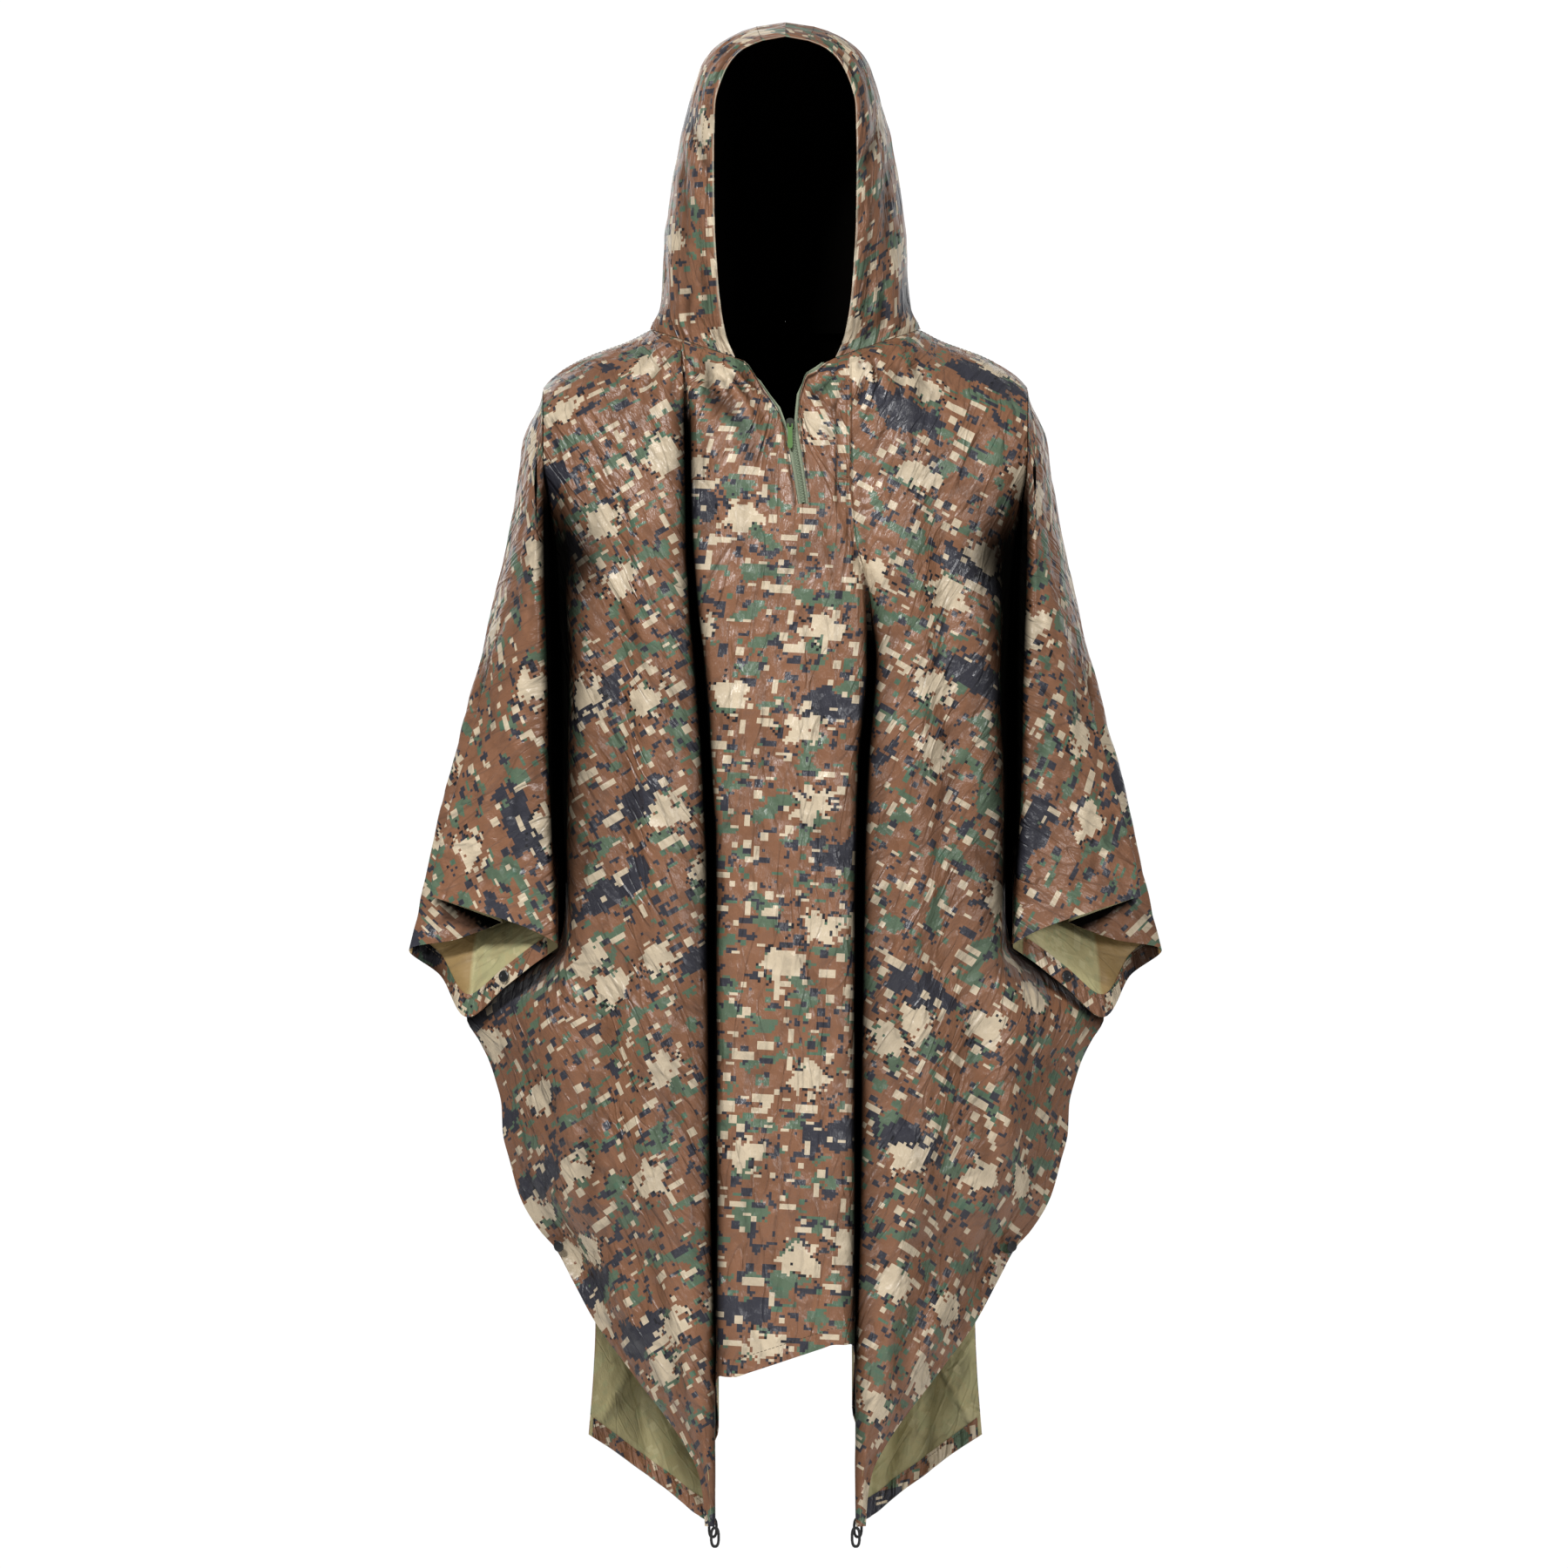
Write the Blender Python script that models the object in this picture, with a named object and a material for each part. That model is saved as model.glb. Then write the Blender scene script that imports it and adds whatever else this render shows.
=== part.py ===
"""Hooded rain poncho as worn, hollow, with no wearer.

Metres, +Z up, the front faces -Y. The origin is at the base of the neck, between the shoulders.
Sizes below are in millimetres and are turned to metres when a mesh is made.
"""
import math

import bpy
import numpy as np

MM = 0.001
WALL = 1.6            # coated cloth, drawn as a wall
TRIM_WALL = 1.2       # turned hems
SEAM = 0.3            # gap between two pieces at a seam
SEAM_HALF = SEAM / 2
HEM_WIDTH = 20.0
TAPE_WALL = 0.9
MITRE = 0.75          # least cosine used where a wall turns a corner
NECK_HALF_WIDTH = 132.0
NECK_FRONT = 88.0
NECK_BACK = 98.0
NECK_SIDE_Z = 19.0
NECK_FRONT_SLOPE = 0.35
NECK_BACK_RISE = 3.0
ZIP_END_Z = -153.0

for old in list(bpy.data.objects):
    bpy.data.objects.remove(old, do_unlink=True)


# ---------------------------------------------------------------- tables and curves

def table(names, rows):
    """Named columns from rows of numbers; the first column is what the others are read against."""
    return dict(zip(names.split(), np.array(rows, dtype=float).T))


def read(tab, name, at):
    """Column `name` at the given values of the first column, on a monotone cubic through the rows."""
    key = next(iter(tab))
    x, y = tab[key], tab[name]
    if x[0] > x[-1]:
        x, y = x[::-1], y[::-1]
    step = np.diff(x)
    slope = np.diff(y) / step
    tangent = np.zeros(len(x))
    same = slope[:-1] * slope[1:] > 0
    weight_a, weight_b = 2 * step[1:] + step[:-1], step[1:] + 2 * step[:-1]
    safe_a = np.where(same, slope[:-1], 1.0)
    safe_b = np.where(same, slope[1:], 1.0)
    tangent[1:-1] = np.where(same, (weight_a + weight_b) / (weight_a / safe_a + weight_b / safe_b), 0.0)
    tangent[0], tangent[-1] = slope[0], slope[-1]
    at = np.clip(np.asarray(at, dtype=float), x[0], x[-1])
    i = np.clip(np.searchsorted(x, at, side="right") - 1, 0, len(x) - 2)
    f = (at - x[i]) / step[i]
    return ((1 + 2 * f) * (1 - f) ** 2 * y[i] + f * (1 - f) ** 2 * step[i] * tangent[i]
            + f * f * (3 - 2 * f) * y[i + 1] - f * f * (1 - f) * step[i] * tangent[i + 1])


def smoothstep(low, high, x):
    """0 below `low`, 1 above `high`, an S curve between."""
    f = np.clip((np.asarray(x, dtype=float) - low) / (high - low), 0.0, 1.0)
    return f * f * (3 - 2 * f)


def mix(a, b, f):
    return a + (b - a) * f


def across(net, at):
    """Points on a centripetal Catmull-Rom curve through the knots of each row.

    `net` is rows x knots x 3. `at` counts in knots: 2.5 lies halfway from the third to the fourth.
    """
    net = np.asarray(net, dtype=float)
    gap = np.linalg.norm(np.diff(net, axis=1), axis=2)[..., None] ** 0.5 + 1e-6
    slope = np.diff(net, axis=1) / gap
    tangent = np.zeros_like(net)
    tangent[:, 0], tangent[:, -1] = slope[:, 0], slope[:, -1]
    left, right = gap[:, :-1], gap[:, 1:]
    tangent[:, 1:-1] = (slope[:, :-1] * right + slope[:, 1:] * left) / (left + right)
    at = np.asarray(at, dtype=float)
    i = np.clip(at.astype(int), 0, net.shape[1] - 2)
    f = (at - i)[None, :, None]
    return ((1 + 2 * f) * (1 - f) ** 2 * net[:, i] + f * (1 - f) ** 2 * gap[:, i] * tangent[:, i]
            + f * f * (3 - 2 * f) * net[:, i + 1] - f * f * (1 - f) * gap[:, i] * tangent[:, i + 1])


# ---------------------------------------------------------------- meshes and materials

def material(name, colour, roughness, metallic=0.0):
    made = bpy.data.materials.new(name)
    made.use_nodes = True
    shader = made.node_tree.nodes["Principled BSDF"]
    shader.inputs["Base Color"].default_value = (*colour, 1.0)
    shader.inputs["Roughness"].default_value = roughness
    shader.inputs["Metallic"].default_value = metallic
    return made


CLOTH = material("printed_cloth", (0.26, 0.12, 0.06), 0.5)
TAPE = material("zip_tape", (0.10, 0.14, 0.08), 0.7)
CHAIN = material("zip_chain", (0.14, 0.19, 0.09), 0.45)
PULL = material("zip_pull", (0.12, 0.17, 0.05), 0.4)
BLACK = material("black_fittings", (0.01, 0.01, 0.01), 0.4)


def signed_volume(points, faces):
    """Volume inside the faces; it is negative where they point inwards."""
    centred = points - points.mean(axis=0)
    total = 0.0
    for face in faces:
        corner = centred[list(face)]
        total += np.sum(corner[0] * np.cross(corner[1:-1], corner[2:])) / 6
    return total


def add_object(name, points, faces, finish):
    """An object at the world origin from points in millimetres, with its faces turned outwards."""
    points = np.asarray(points)
    if signed_volume(points, faces) < 0:
        faces = [tuple(reversed(face)) for face in faces]
    mesh = bpy.data.meshes.new(name)
    mesh.from_pydata([tuple(p) for p in points * MM], [], faces)
    mesh.materials.append(finish)
    mesh.validate()
    mesh.shade_smooth()
    mesh.set_sharp_from_angle(angle=math.radians(40))
    made = bpy.data.objects.new(name, mesh)
    bpy.context.scene.collection.objects.link(made)
    return made


def unit(vector):
    return vector / np.linalg.norm(vector, axis=-1, keepdims=True)


def bisector(grid, axis):
    """Direction of the grid lines at each point: halfway between the steps before and after it."""
    step = np.diff(grid, axis=axis)
    step = step / np.maximum(np.linalg.norm(step, axis=2, keepdims=True), 1e-9)
    first, last = np.take(step, [0], axis=axis), np.take(step, [-1], axis=axis)
    return (np.concatenate([first, step], axis=axis) + np.concatenate([step, last], axis=axis)) / 2


def normals(grid):
    """Normals of a grid, lengthened a little at sharp folds so that the wall keeps its thickness."""
    down, along = bisector(grid, 0), bisector(grid, 1)
    normal = np.cross(along, down)
    size = np.linalg.norm(normal, axis=2, keepdims=True)
    return normal / np.maximum(size, 1e-9) / np.clip(np.linalg.norm(along, axis=2, keepdims=True), MITRE, 1)


def wall(name, grid, thickness, finish, keep=None, normal=None, mirrored=False):
    """A closed wall of the given thickness about a grid of mid-surface points.

    `keep` says which cells of the grid are cloth; a rim closes every free edge. Cells in mirrored
    columns are divided along the other diagonal, so that left and right are alike.
    """
    rows, columns = grid.shape[:2]
    normal = normals(grid) if normal is None else normal
    outer = grid + normal * thickness / 2
    inner = grid - normal * thickness / 2
    points = np.concatenate([outer.reshape(-1, 3), inner.reshape(-1, 3)])
    if keep is None:
        keep = np.ones((rows - 1, columns - 1), bool)
    padded = np.pad(keep, 1)
    mirrored = np.broadcast_to(mirrored, columns - 1)
    back = rows * columns
    faces = []
    for r, c in zip(*np.nonzero(keep)):
        a, b = int(r * columns + c), int(r * columns + c + 1)
        d, e = a + columns, b + columns
        halves = [(a, d, b), (b, d, e)] if mirrored[c] else [(a, d, e), (a, e, b)]
        faces += halves + [tuple(i + back for i in reversed(half)) for half in halves]
        if not padded[r, c + 1]:
            faces += [(a, b, b + back), (a, b + back, a + back)]
        if not padded[r + 2, c + 1]:
            faces += [(e, d, d + back), (e, d + back, e + back)]
        if not padded[r + 1, c]:
            faces += [(d, a, a + back), (d, a + back, d + back)]
        if not padded[r + 1, c + 2]:
            faces += [(b, e, e + back), (b, e + back, b + back)]
    faces = np.array(faces)
    used, faces = np.unique(faces, return_inverse=True)
    return add_object(name, points[used], faces.reshape(-1, 3).tolist(), finish)


# ---------------------------------------------------------------- neck and shoulder line

SHOULDER = table("x z", [
    (132, 19), (153, 8), (169, 2), (191, -6), (211, -16), (227, -27), (238, -39),
])

# Edge of the front slit, from the left side of the neck to the right side.
SLIT = table("x y z", [
    (-49, -81.7, -10.05), (-38, -86, -14), (-25, -94, -35), (-7, -106, -61), (1, -116, -84),
    (11, -115, -81), (14, -107, -48), (20, -97, -27), (30, -91, -23), (37, -87, -16), (49, -81.7, -10.05),
])


def neck_z(x, front):
    """Height of the neck seam: it falls to the front and rises a little to the nape."""
    inside = np.clip(NECK_HALF_WIDTH - np.abs(x), 0, None)
    falling = NECK_SIDE_Z - NECK_FRONT_SLOPE * inside
    rising = NECK_SIDE_Z + NECK_BACK_RISE * np.sqrt(np.clip(1 - (x / NECK_HALF_WIDTH) ** 2, 0, 1))
    return np.where(front, falling, rising)


def top_edge(x, front):
    """y and z of a panel's top edge at x: the shoulder line, the neck oval and, in front, the slit."""
    shoulder_z = read(SHOULDER, "z", np.abs(x))
    oval = np.sqrt(np.clip(1 - (x / NECK_HALF_WIDTH) ** 2, 0, 1))
    sign, reach = (-1, NECK_FRONT) if front else (1, NECK_BACK)
    y = sign * np.maximum(reach * oval, SEAM_HALF)
    z = np.where(np.abs(x) > NECK_HALF_WIDTH, shoulder_z, neck_z(x, front))
    if front:
        slit = (x > SLIT["x"][0]) & (x < SLIT["x"][-1])
        y = np.where(slit, np.interp(x, SLIT["x"], SLIT["y"]), y)
        z = np.where(slit, np.interp(x, SLIT["x"], SLIT["z"]), z)
    return y, z


# ---------------------------------------------------------------- front and back panels

# Side edge of the panels on the wearer's side at -X, from the shoulder down; y is for the front.
# Above the cuff it lies at the bottom of the deep fold between body and arm, then it runs out
# along the wing behind the cuff, down the closed side, and below the side snap on alone.
FRONT_EDGE = table("z x y", [
    (-39, 236.5, 0), (-110, 235.4, 79), (-150, 229.6, 66),
    (-195, 224.6, 52), (-260, 221.6, 45), (-325, 219.6, 45),
    (-440, 219.2, 44), (-480, 216, 24), (-515, 214.5, 2), (-545, 215, -5), (-575, 219, -5), (-600, 247, -4),
    (-625, 282, -1), (-653, 312, 1.2),
    (-677, 299, 1.2), (-694, 290.5, 1.2), (-713, 284, 1.2), (-740, 277.5, 1.2), (-765, 276.5, 1.2),
    (-794, 269.5, 1.2), (-828, 260, 1.2), (-864, 239, 1.2),
    (-877, 227, 1.2), (-909, 209, 9), (-952, 185, 24),
    (-999, 150, 48), (-1069, 98, 82), (-1097, 84, 94), (-1128, 79, 103), (-1147, 78, 106),
])
BACK_EDGE = table("z x y", [
    (-39, 236.5, 0), (-110, 235.4, 79), (-150, 228, 66),
    (-195, 221.4, 52), (-260, 218.6, 45), (-325, 216.6, 45),
    (-440, 216.2, 45), (-480, 216, 34), (-515, 224, 22), (-545, 238, 13), (-575, 254, 9), (-600, 268, 7),
    (-625, 288, 4), (-653, 312, 1.2),
    (-677, 299, 1.2), (-694, 290.5, 1.2), (-713, 284, 1.2), (-740, 277.5, 1.2), (-765, 276.5, 1.2),
    (-794, 269.5, 1.2), (-828, 260, 1.2), (-864, 239, 1.2),
    (-877, 227, 1.2), (-915, 202.5, 9), (-950, 186, 24),
    (-1000, 188, 40), (-1064, 193, 48),
])

# Sections of a side: the inner wall and the lip of the deep fold, the middle of the chest, and how
# far two soft ridges and the trough between them stand out of the side.
FRONT_SIDE = table("z wall_x wall_y lip_x lip_y pleat_y centre_y ridge_a trough ridge_b", [
    (-110, 232, 82, 226, 86, 118, 124, 0, 0, 0),
    (-150, 221, 84, 214, 93, 124, 130, 2, -3, 3),
    (-195, 215, 80, 209, 98, 128, 135, 5, -7, 5),
    (-260, 212.5, 76, 207, 102, 130, 138, 6, -8, 5),
    (-325, 210.5, 76, 205, 104, 131, 139, 5, -7, 6),
    (-455, 214, 76, 208, 105, 132, 140, 2, -5, 7),
    (-540, 212.5, 66, 207, 104, 132, 140, 0, -5, 6),
    (-583, 213.5, 52, 206, 98, 131, 139, 0, -5, 5),
    (-610, 236, 36, 212, 82, 130, 138, 0, -6, 5),
    (-653, 282, 27, 246, 64, 129, 137, 4, -8, 5),
    (-700, 268, 32, 240, 64, 128, 136, 8, -9, 6),
    (-765, 256, 30, 232, 62, 126, 135, 10, -8, 7),
    (-828, 238, 22, 218, 54, 124, 134, 9, -7, 7),
    (-877, 212, 4, 196, 34, 121, 133, 7, -7, 6),
    (-952, 174, 40, 160, 60, 118, 132, 3, -5, 5),
    (-1040, 114, 76, 105, 86, 114, 131, 1, -2, 2),
    (-1069, 94.5, 86, 89, 95, 113, 130.5, 0, -1, 1),
    (-1100, 81.5, 98, 79.3, 103.5, 112.5, 130, 0, 0, 0),
    (-1147, 77, 108.5, 75.6, 110.3, 112, 130, 0, 0, 0),
])
BACK_SIDE = table("z wall_x wall_y lip_x lip_y pleat_y centre_y ridge_a trough ridge_b", [
    (-110, 232, 82, 226, 87, 116, 120, 0, 0, 0),
    (-150, 218, 84, 211, 93, 122, 127, 2, -3, 3),
    (-195, 212, 80, 206, 98, 126, 131, 4, -6, 5),
    (-260, 210.5, 76, 204, 102, 128, 133, 6, -7, 5),
    (-325, 209.5, 76, 203, 104, 129, 134, 6, -6, 4),
    (-455, 211, 76, 205, 105, 130, 135, 3, -5, 6),
    (-500, 216, 74, 209, 104, 130, 135, 0, -5, 7),
    (-545, 232, 62, 214, 98, 130, 135, 0, -5, 7),
    (-583, 242, 50, 218, 90, 129, 134, 0, -5, 6),
    (-610, 256, 40, 226, 80, 128, 133, 0, -6, 5),
    (-653, 282, 30, 246, 64, 127, 132, 3, -8, 5),
    (-700, 268, 32, 240, 64, 126, 131, 6, -9, 6),
    (-765, 256, 30, 232, 62, 125, 130, 9, -9, 7),
    (-828, 238, 22, 218, 54, 124, 129, 10, -8, 7),
    (-877, 212, 4, 196, 34, 122, 128, 8, -7, 6),
    (-952, 172, 42, 158, 66, 120, 127, 4, -5, 5),
    (-1061, 170, 62, 150, 80, 116, 126, 3, -3, 3),
    (-1147, 150, 76, 134, 90, 112, 126, 0, 0, 0),
])

# The deep pleats beside the centre panel: middle, half the gap between the lips, and depth.
FRONT_PLEAT_LEFT = table("z x gap depth", [
    (-31, 101, 3, 0), (-85, 95, 3, 14), (-130, 94.5, 3, 24), (-170, 94, 3.4, 32), (-255, 89, 4.6, 44),
    (-306, 83.7, 5.2, 48), (-382, 77.8, 5.4, 54), (-510, 71.8, 5.2, 60), (-680, 71, 4.2, 63),
    (-850, 69.3, 3, 64), (-986, 67.4, 1.9, 62), (-1147, 67.3, 1.9, 58),
])
FRONT_PLEAT_RIGHT = table("z x gap depth", [
    (-31, 62, 3, 0), (-80, 61, 3, 1), (-130, 62, 3, 4), (-180, 66, 3, 9), (-246, 80, 3.6, 24),
    (-306, 83.7, 5, 38), (-408, 76, 5.4, 50), (-510, 72.7, 5.2, 58), (-680, 71, 4.2, 63),
    (-850, 70, 3, 64), (-969, 67.4, 1.9, 62), (-1147, 67.3, 1.9, 58),
])
BACK_PLEAT = table("z x gap depth", [
    (-60, 88, 3, 0), (-130, 86, 3, 9), (-220, 84, 3.6, 22), (-400, 80, 5, 40), (-700, 79, 5, 50),
    (-950, 77, 4, 52), (-1147, 73.5, 3, 50),
])

# Knots of the centre of the front: place at the top edge, at the end of the zip, and at the hem.
FRONT_CENTRE = table("knot top_x zip_x hem_x", [
    (0, -58, -62, -48), (1, -45, -44, -36), (2, -26, -22, -24), (3, -8, -1, -12), (4, 1, 13.5, -3),
    (5, 11, 21.5, 5), (6, 14.5, 27, 15), (7, 24, 35, 25), (8, 38, 41.5, 36), (9, 49, 47.5, 46),
])
BACK_CENTRE = table("knot top_x zip_x hem_x", [
    (0, -50, -50, -46), (1, -17, -17, -15), (2, 17, 17, 15), (3, 50, 50, 46),
])

SIDE_SHARE = np.array([0.14, 0.40, 0.66, 0.88])      # knots between the lip and the pleat
PLEAT_LIP = 7.0                                       # round of a pleat's lip
PLEAT_BULB = 4.5                                      # half the width at a pleat's bottom
BULB_ASIDE = 3.4                                      # near the hem the bottom turns to the side


def side_knots(z, edge, side, pleat):
    """Knots of one side at the heights z, from the edge to the pleat: rows x 13 x (x, y), x positive.

    y is counted outward from the middle of the body.
    """
    col = {name: read(side, name, z) for name in side if name != "z"}
    px, gap, depth = (read(pleat, name, z) for name in ("x", "gap", "depth"))
    deep = smoothstep(4, 24, depth)
    edge_x = read(edge, "x", z)
    lip_width = np.minimum(PLEAT_LIP, 0.4 * (edge_x - px - gap))
    lip_in = px + gap + lip_width
    knots = [(edge_x, read(edge, "y", z)),
             (col["wall_x"], col["wall_y"]), (col["lip_x"], col["lip_y"])]
    room = smoothstep(2, 60, col["lip_x"] - lip_in)
    for share, lift in zip(SIDE_SHARE, ("ridge_a", "trough", "ridge_b", None)):
        x = mix(col["lip_x"], lip_in, share)
        y = mix(col["lip_y"], col["pleat_y"], np.sin(share * math.pi / 2) ** 0.9)
        knots.append((x, y + (col[lift] * room if lift else 0)))
    lip_round = np.minimum(PLEAT_LIP, depth * 0.35) * np.clip((edge_x - px - gap) / 30, 0.15, 1)
    bulb = mix(1.0, PLEAT_BULB, deep)
    aside = BULB_ASIDE * smoothstep(850, 1000, -z)
    knots += [(lip_in, col["pleat_y"]),
              (px + gap, col["pleat_y"] - lip_round),
              (px + aside + bulb, mix(col["pleat_y"], col["centre_y"], 0.4) - np.maximum(depth - 4, 0)),
              (px + aside - bulb, mix(col["pleat_y"], col["centre_y"], 0.6) - np.maximum(depth - 4, 0)),
              (px - gap, col["centre_y"] - 2 - lip_round),
              (px - gap - PLEAT_LIP, col["centre_y"] - 2)]
    return np.stack([np.stack(k, axis=-1) for k in knots], axis=1)


KNOTS_SIDE = 13
CHEST_Z = np.array([-110, -112, -114, -118, -122, -126, -128, -130, -130, -130, -130, -130, -130], float)
TIP_Z = -1147.0
FRONT_HEM_LEFT_Z = -1001.0
FRONT_HEM_RIGHT_Z = -970.0
BACK_HEM_Z = -957.0
BACK_HEM_SIDE = table("x z", [(60, -1151), (79, -1149), (128, -1114), (193, -1064), (240, -1061)])


def pleat_hem(centre_hem):
    """Heights where the six knots of a front pleat end: from the corner tip up to the centre hem."""
    return mix(TIP_Z, centre_hem, np.array([0.0, 0.0, 0.45, 0.6, 1.0, 1.0]))


PANEL_LENGTH = 1010.0
SLIT_MIDDLE, SLIT_STRAIGHT = 6.0, 0.9      # beside the zip the chest runs down straight, not rounded
CHEST_TOP_BACK_Z = -130.0
SHOULDER_X = [236.5, 232.5, 226.0]         # edge, wall and lip where they start on the shoulder line
PLEAT_START = np.array([10.0, 3.0, 1.0, -1.0, -3.0, -10.0])    # and a pleat's knots, about its middle


def down_to_hem(rows, hem_share):
    """Even steps from 0 down to the hem's upper line, and the hem as the last step."""
    return np.append(np.linspace(0, 1 - hem_share, rows - 1), 1.0)


def panel(front, s, rows_top, rows_down):
    """Mid-surface of the front or back panel at the knot positions s.

    The top part runs from the top edge over the shoulder and chest on a quarter ellipse. Below it
    the section tables are read at each knot's own heights, from the chest to the hem.
    """
    edge, side = (FRONT_EDGE, FRONT_SIDE) if front else (BACK_EDGE, BACK_SIDE)
    centre = FRONT_CENTRE if front else BACK_CENTRE
    pleats = (FRONT_PLEAT_LEFT, FRONT_PLEAT_RIGHT) if front else (BACK_PLEAT, BACK_PLEAT)
    count = len(centre["knot"])
    centre_top = ZIP_END_Z if front else CHEST_TOP_BACK_Z
    share = down_to_hem(rows_down, HEM_WIDTH / PANEL_LENGTH)[:, None]
    nets = []
    for pleat, hem_z in zip(pleats, (FRONT_HEM_LEFT_Z, FRONT_HEM_RIGHT_Z)):
        if front:
            end = np.concatenate([np.full(7, TIP_Z), pleat_hem(hem_z)])
        else:
            at = side_knots(np.array([-1100.0]), edge, side, pleat)[0, :, 0]
            end = read(BACK_HEM_SIDE, "z", at)
            end[0] = BACK_EDGE["z"][-1]
            end[9:] = mix(TIP_Z, BACK_HEM_Z, np.array([0.45, 0.6, 1.0, 1.0]))
        z = mix(CHEST_Z[None], end[None], share)
        net = np.empty((rows_down, KNOTS_SIDE, 3))
        for k in range(KNOTS_SIDE):
            net[:, k, :2] = side_knots(z[:, k], edge, side, pleat)[:, k]
        net[..., 2] = z
        nets.append(net)
    left, right = nets
    left[..., 0] *= -1
    hem_line = (FRONT_HEM_LEFT_Z, FRONT_HEM_RIGHT_Z) if front else (BACK_HEM_Z, BACK_HEM_Z)
    place = (centre["hem_x"] - centre["hem_x"][0]) / (centre["hem_x"][-1] - centre["hem_x"][0])
    z = mix(centre_top, mix(hem_line[0], hem_line[1], place)[None], share)
    spread = smoothstep(-centre_top, 420, -z)
    x = mix(centre["zip_x"][None], centre["hem_x"][None], spread)
    middle = np.empty((rows_down, count, 3))
    middle[..., 0], middle[..., 2] = x, z
    middle[..., 1] = read(side, "centre_y", z) + 3 * np.cos(np.clip(x / 60, -1, 1) * math.pi / 2)
    net = np.concatenate([left, middle, right[:, ::-1]], axis=1)
    net[..., 1] *= -1 if front else 1
    below = across(net, s)
    # Above the chest: the same columns, led to the top edge.
    tops = []
    for pleat in pleats:
        inner = pleat["x"][0] + PLEAT_START
        tops.append(np.concatenate([SHOULDER_X, mix(SHOULDER_X[-1], inner[0], SIDE_SHARE), inner]))
    top_x = np.concatenate([-tops[0], centre["top_x"], tops[1][::-1]])
    x = across(np.stack([top_x, 0 * top_x, 0 * top_x], axis=-1)[None], s)[0, :, 0]
    y, z = top_edge(x, front)
    start = np.stack([x, y, z], axis=-1)[None]
    turn = np.linspace(0, math.pi / 2, rows_top)[:, None]
    chest = below[:1]
    even = turn / (math.pi / 2)
    straight = SLIT_STRAIGHT * (1 - smoothstep(10, 60, np.abs(x - SLIT_MIDDLE))) if front else 0 * x
    above = np.empty((rows_top, len(s), 3))
    above[..., 0] = mix(start[..., 0], chest[..., 0], mix(np.sin(turn) ** 2, even, straight))
    above[..., 1] = mix(start[..., 1], chest[..., 1], mix(np.sin(turn), even, straight))
    above[..., 2] = mix(start[..., 2], chest[..., 2], mix(1 - np.cos(turn), even, straight))
    return np.concatenate([above[:-1], below])


def with_middles(knots, wide):
    """Every knot, and the given number of extra places inside each of the wide intervals."""
    places = [np.linspace(k, k + 1, wide.get(k, 0) + 2)[:-1] for k in range(knots - 1)]
    return np.concatenate(places + [[float(knots - 1)]])


FRONT_KNOTS = 2 * KNOTS_SIDE + len(FRONT_CENTRE["knot"])
BACK_KNOTS = 2 * KNOTS_SIDE + len(BACK_CENTRE["knot"])
SIDE_WIDE = {2: 1, 3: 1, 4: 1, 5: 1}
ROWS_TOP = 6
FRONT_ROWS, BACK_ROWS = 24, 20


def both_sides(wide, knots):
    """The same extra places on the left and, counted from the other end, on the right."""
    return {**wide, **{knots - 2 - k: n for k, n in wide.items()}}


def column_of(s, knot):
    """The column of a grid that lies on a knot."""
    return int(np.flatnonzero(s == knot)[0])


front_s = with_middles(FRONT_KNOTS, both_sides(SIDE_WIDE, FRONT_KNOTS))[::-1]
back_s = with_middles(BACK_KNOTS, {**both_sides(SIDE_WIDE, BACK_KNOTS), 12: 1, 13: 1, 14: 1, 15: 1, 16: 1})
front_grid = panel(True, front_s, ROWS_TOP, FRONT_ROWS)
back_grid = panel(False, back_s, ROWS_TOP, BACK_ROWS)

zip_right_knot = KNOTS_SIDE + 5
zip_column = column_of(front_s, zip_right_knot)
front_keep = np.ones((front_grid.shape[0] - 1, front_grid.shape[1] - 1), bool)
front_keep[:ROWS_TOP - 1, zip_column] = False


def shoulder_normals(grid):
    """Normals of a panel; on the shoulder line they stand upright, so that its rim stays in the seam."""
    normal = normals(grid)
    normal[0, np.abs(grid[0, :, 0]) > NECK_HALF_WIDTH - 12, 1] = 0.0
    return normal


front_mirrored = np.arange(front_grid.shape[1] - 1) >= column_of(front_s, KNOTS_SIDE - 1)
back_mirrored = np.arange(back_grid.shape[1] - 1) < back_grid.shape[1] // 2
front_normal, back_normal = shoulder_normals(front_grid), shoulder_normals(back_grid)
wall("front_panel", front_grid, WALL, CLOTH, front_keep, front_normal, front_mirrored)
wall("back_panel", back_grid, WALL, CLOTH, None, back_normal, back_mirrored)


# ---------------------------------------------------------------- cloth over the arms

# Sections of the cloth over the arm at -X (x positive here): fold lip beside the body, side of the
# arm, half depth at the lip, and the long fold down the front: its ridge, and how far it is laid under.
SLEEVE = table("z lip_x side_x ridge_x depth fold", [
    (-39, 236, 239, 238, 60, 0),
    (-70, 236, 252, 246, 74, 0),
    (-110, 236, 259, 251, 84, 0),
    (-162, 235.5, 266, 256, 88, 0),
    (-221, 235, 279.5, 266, 90, 0),
    (-309, 232, 300.5, 287, 92, 4),
    (-413, 230, 328, 315, 92, 22),
    (-507, 226, 350, 338, 90, 48),
    (-589, 221, 368.5, 348, 86, 71),
])
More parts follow.
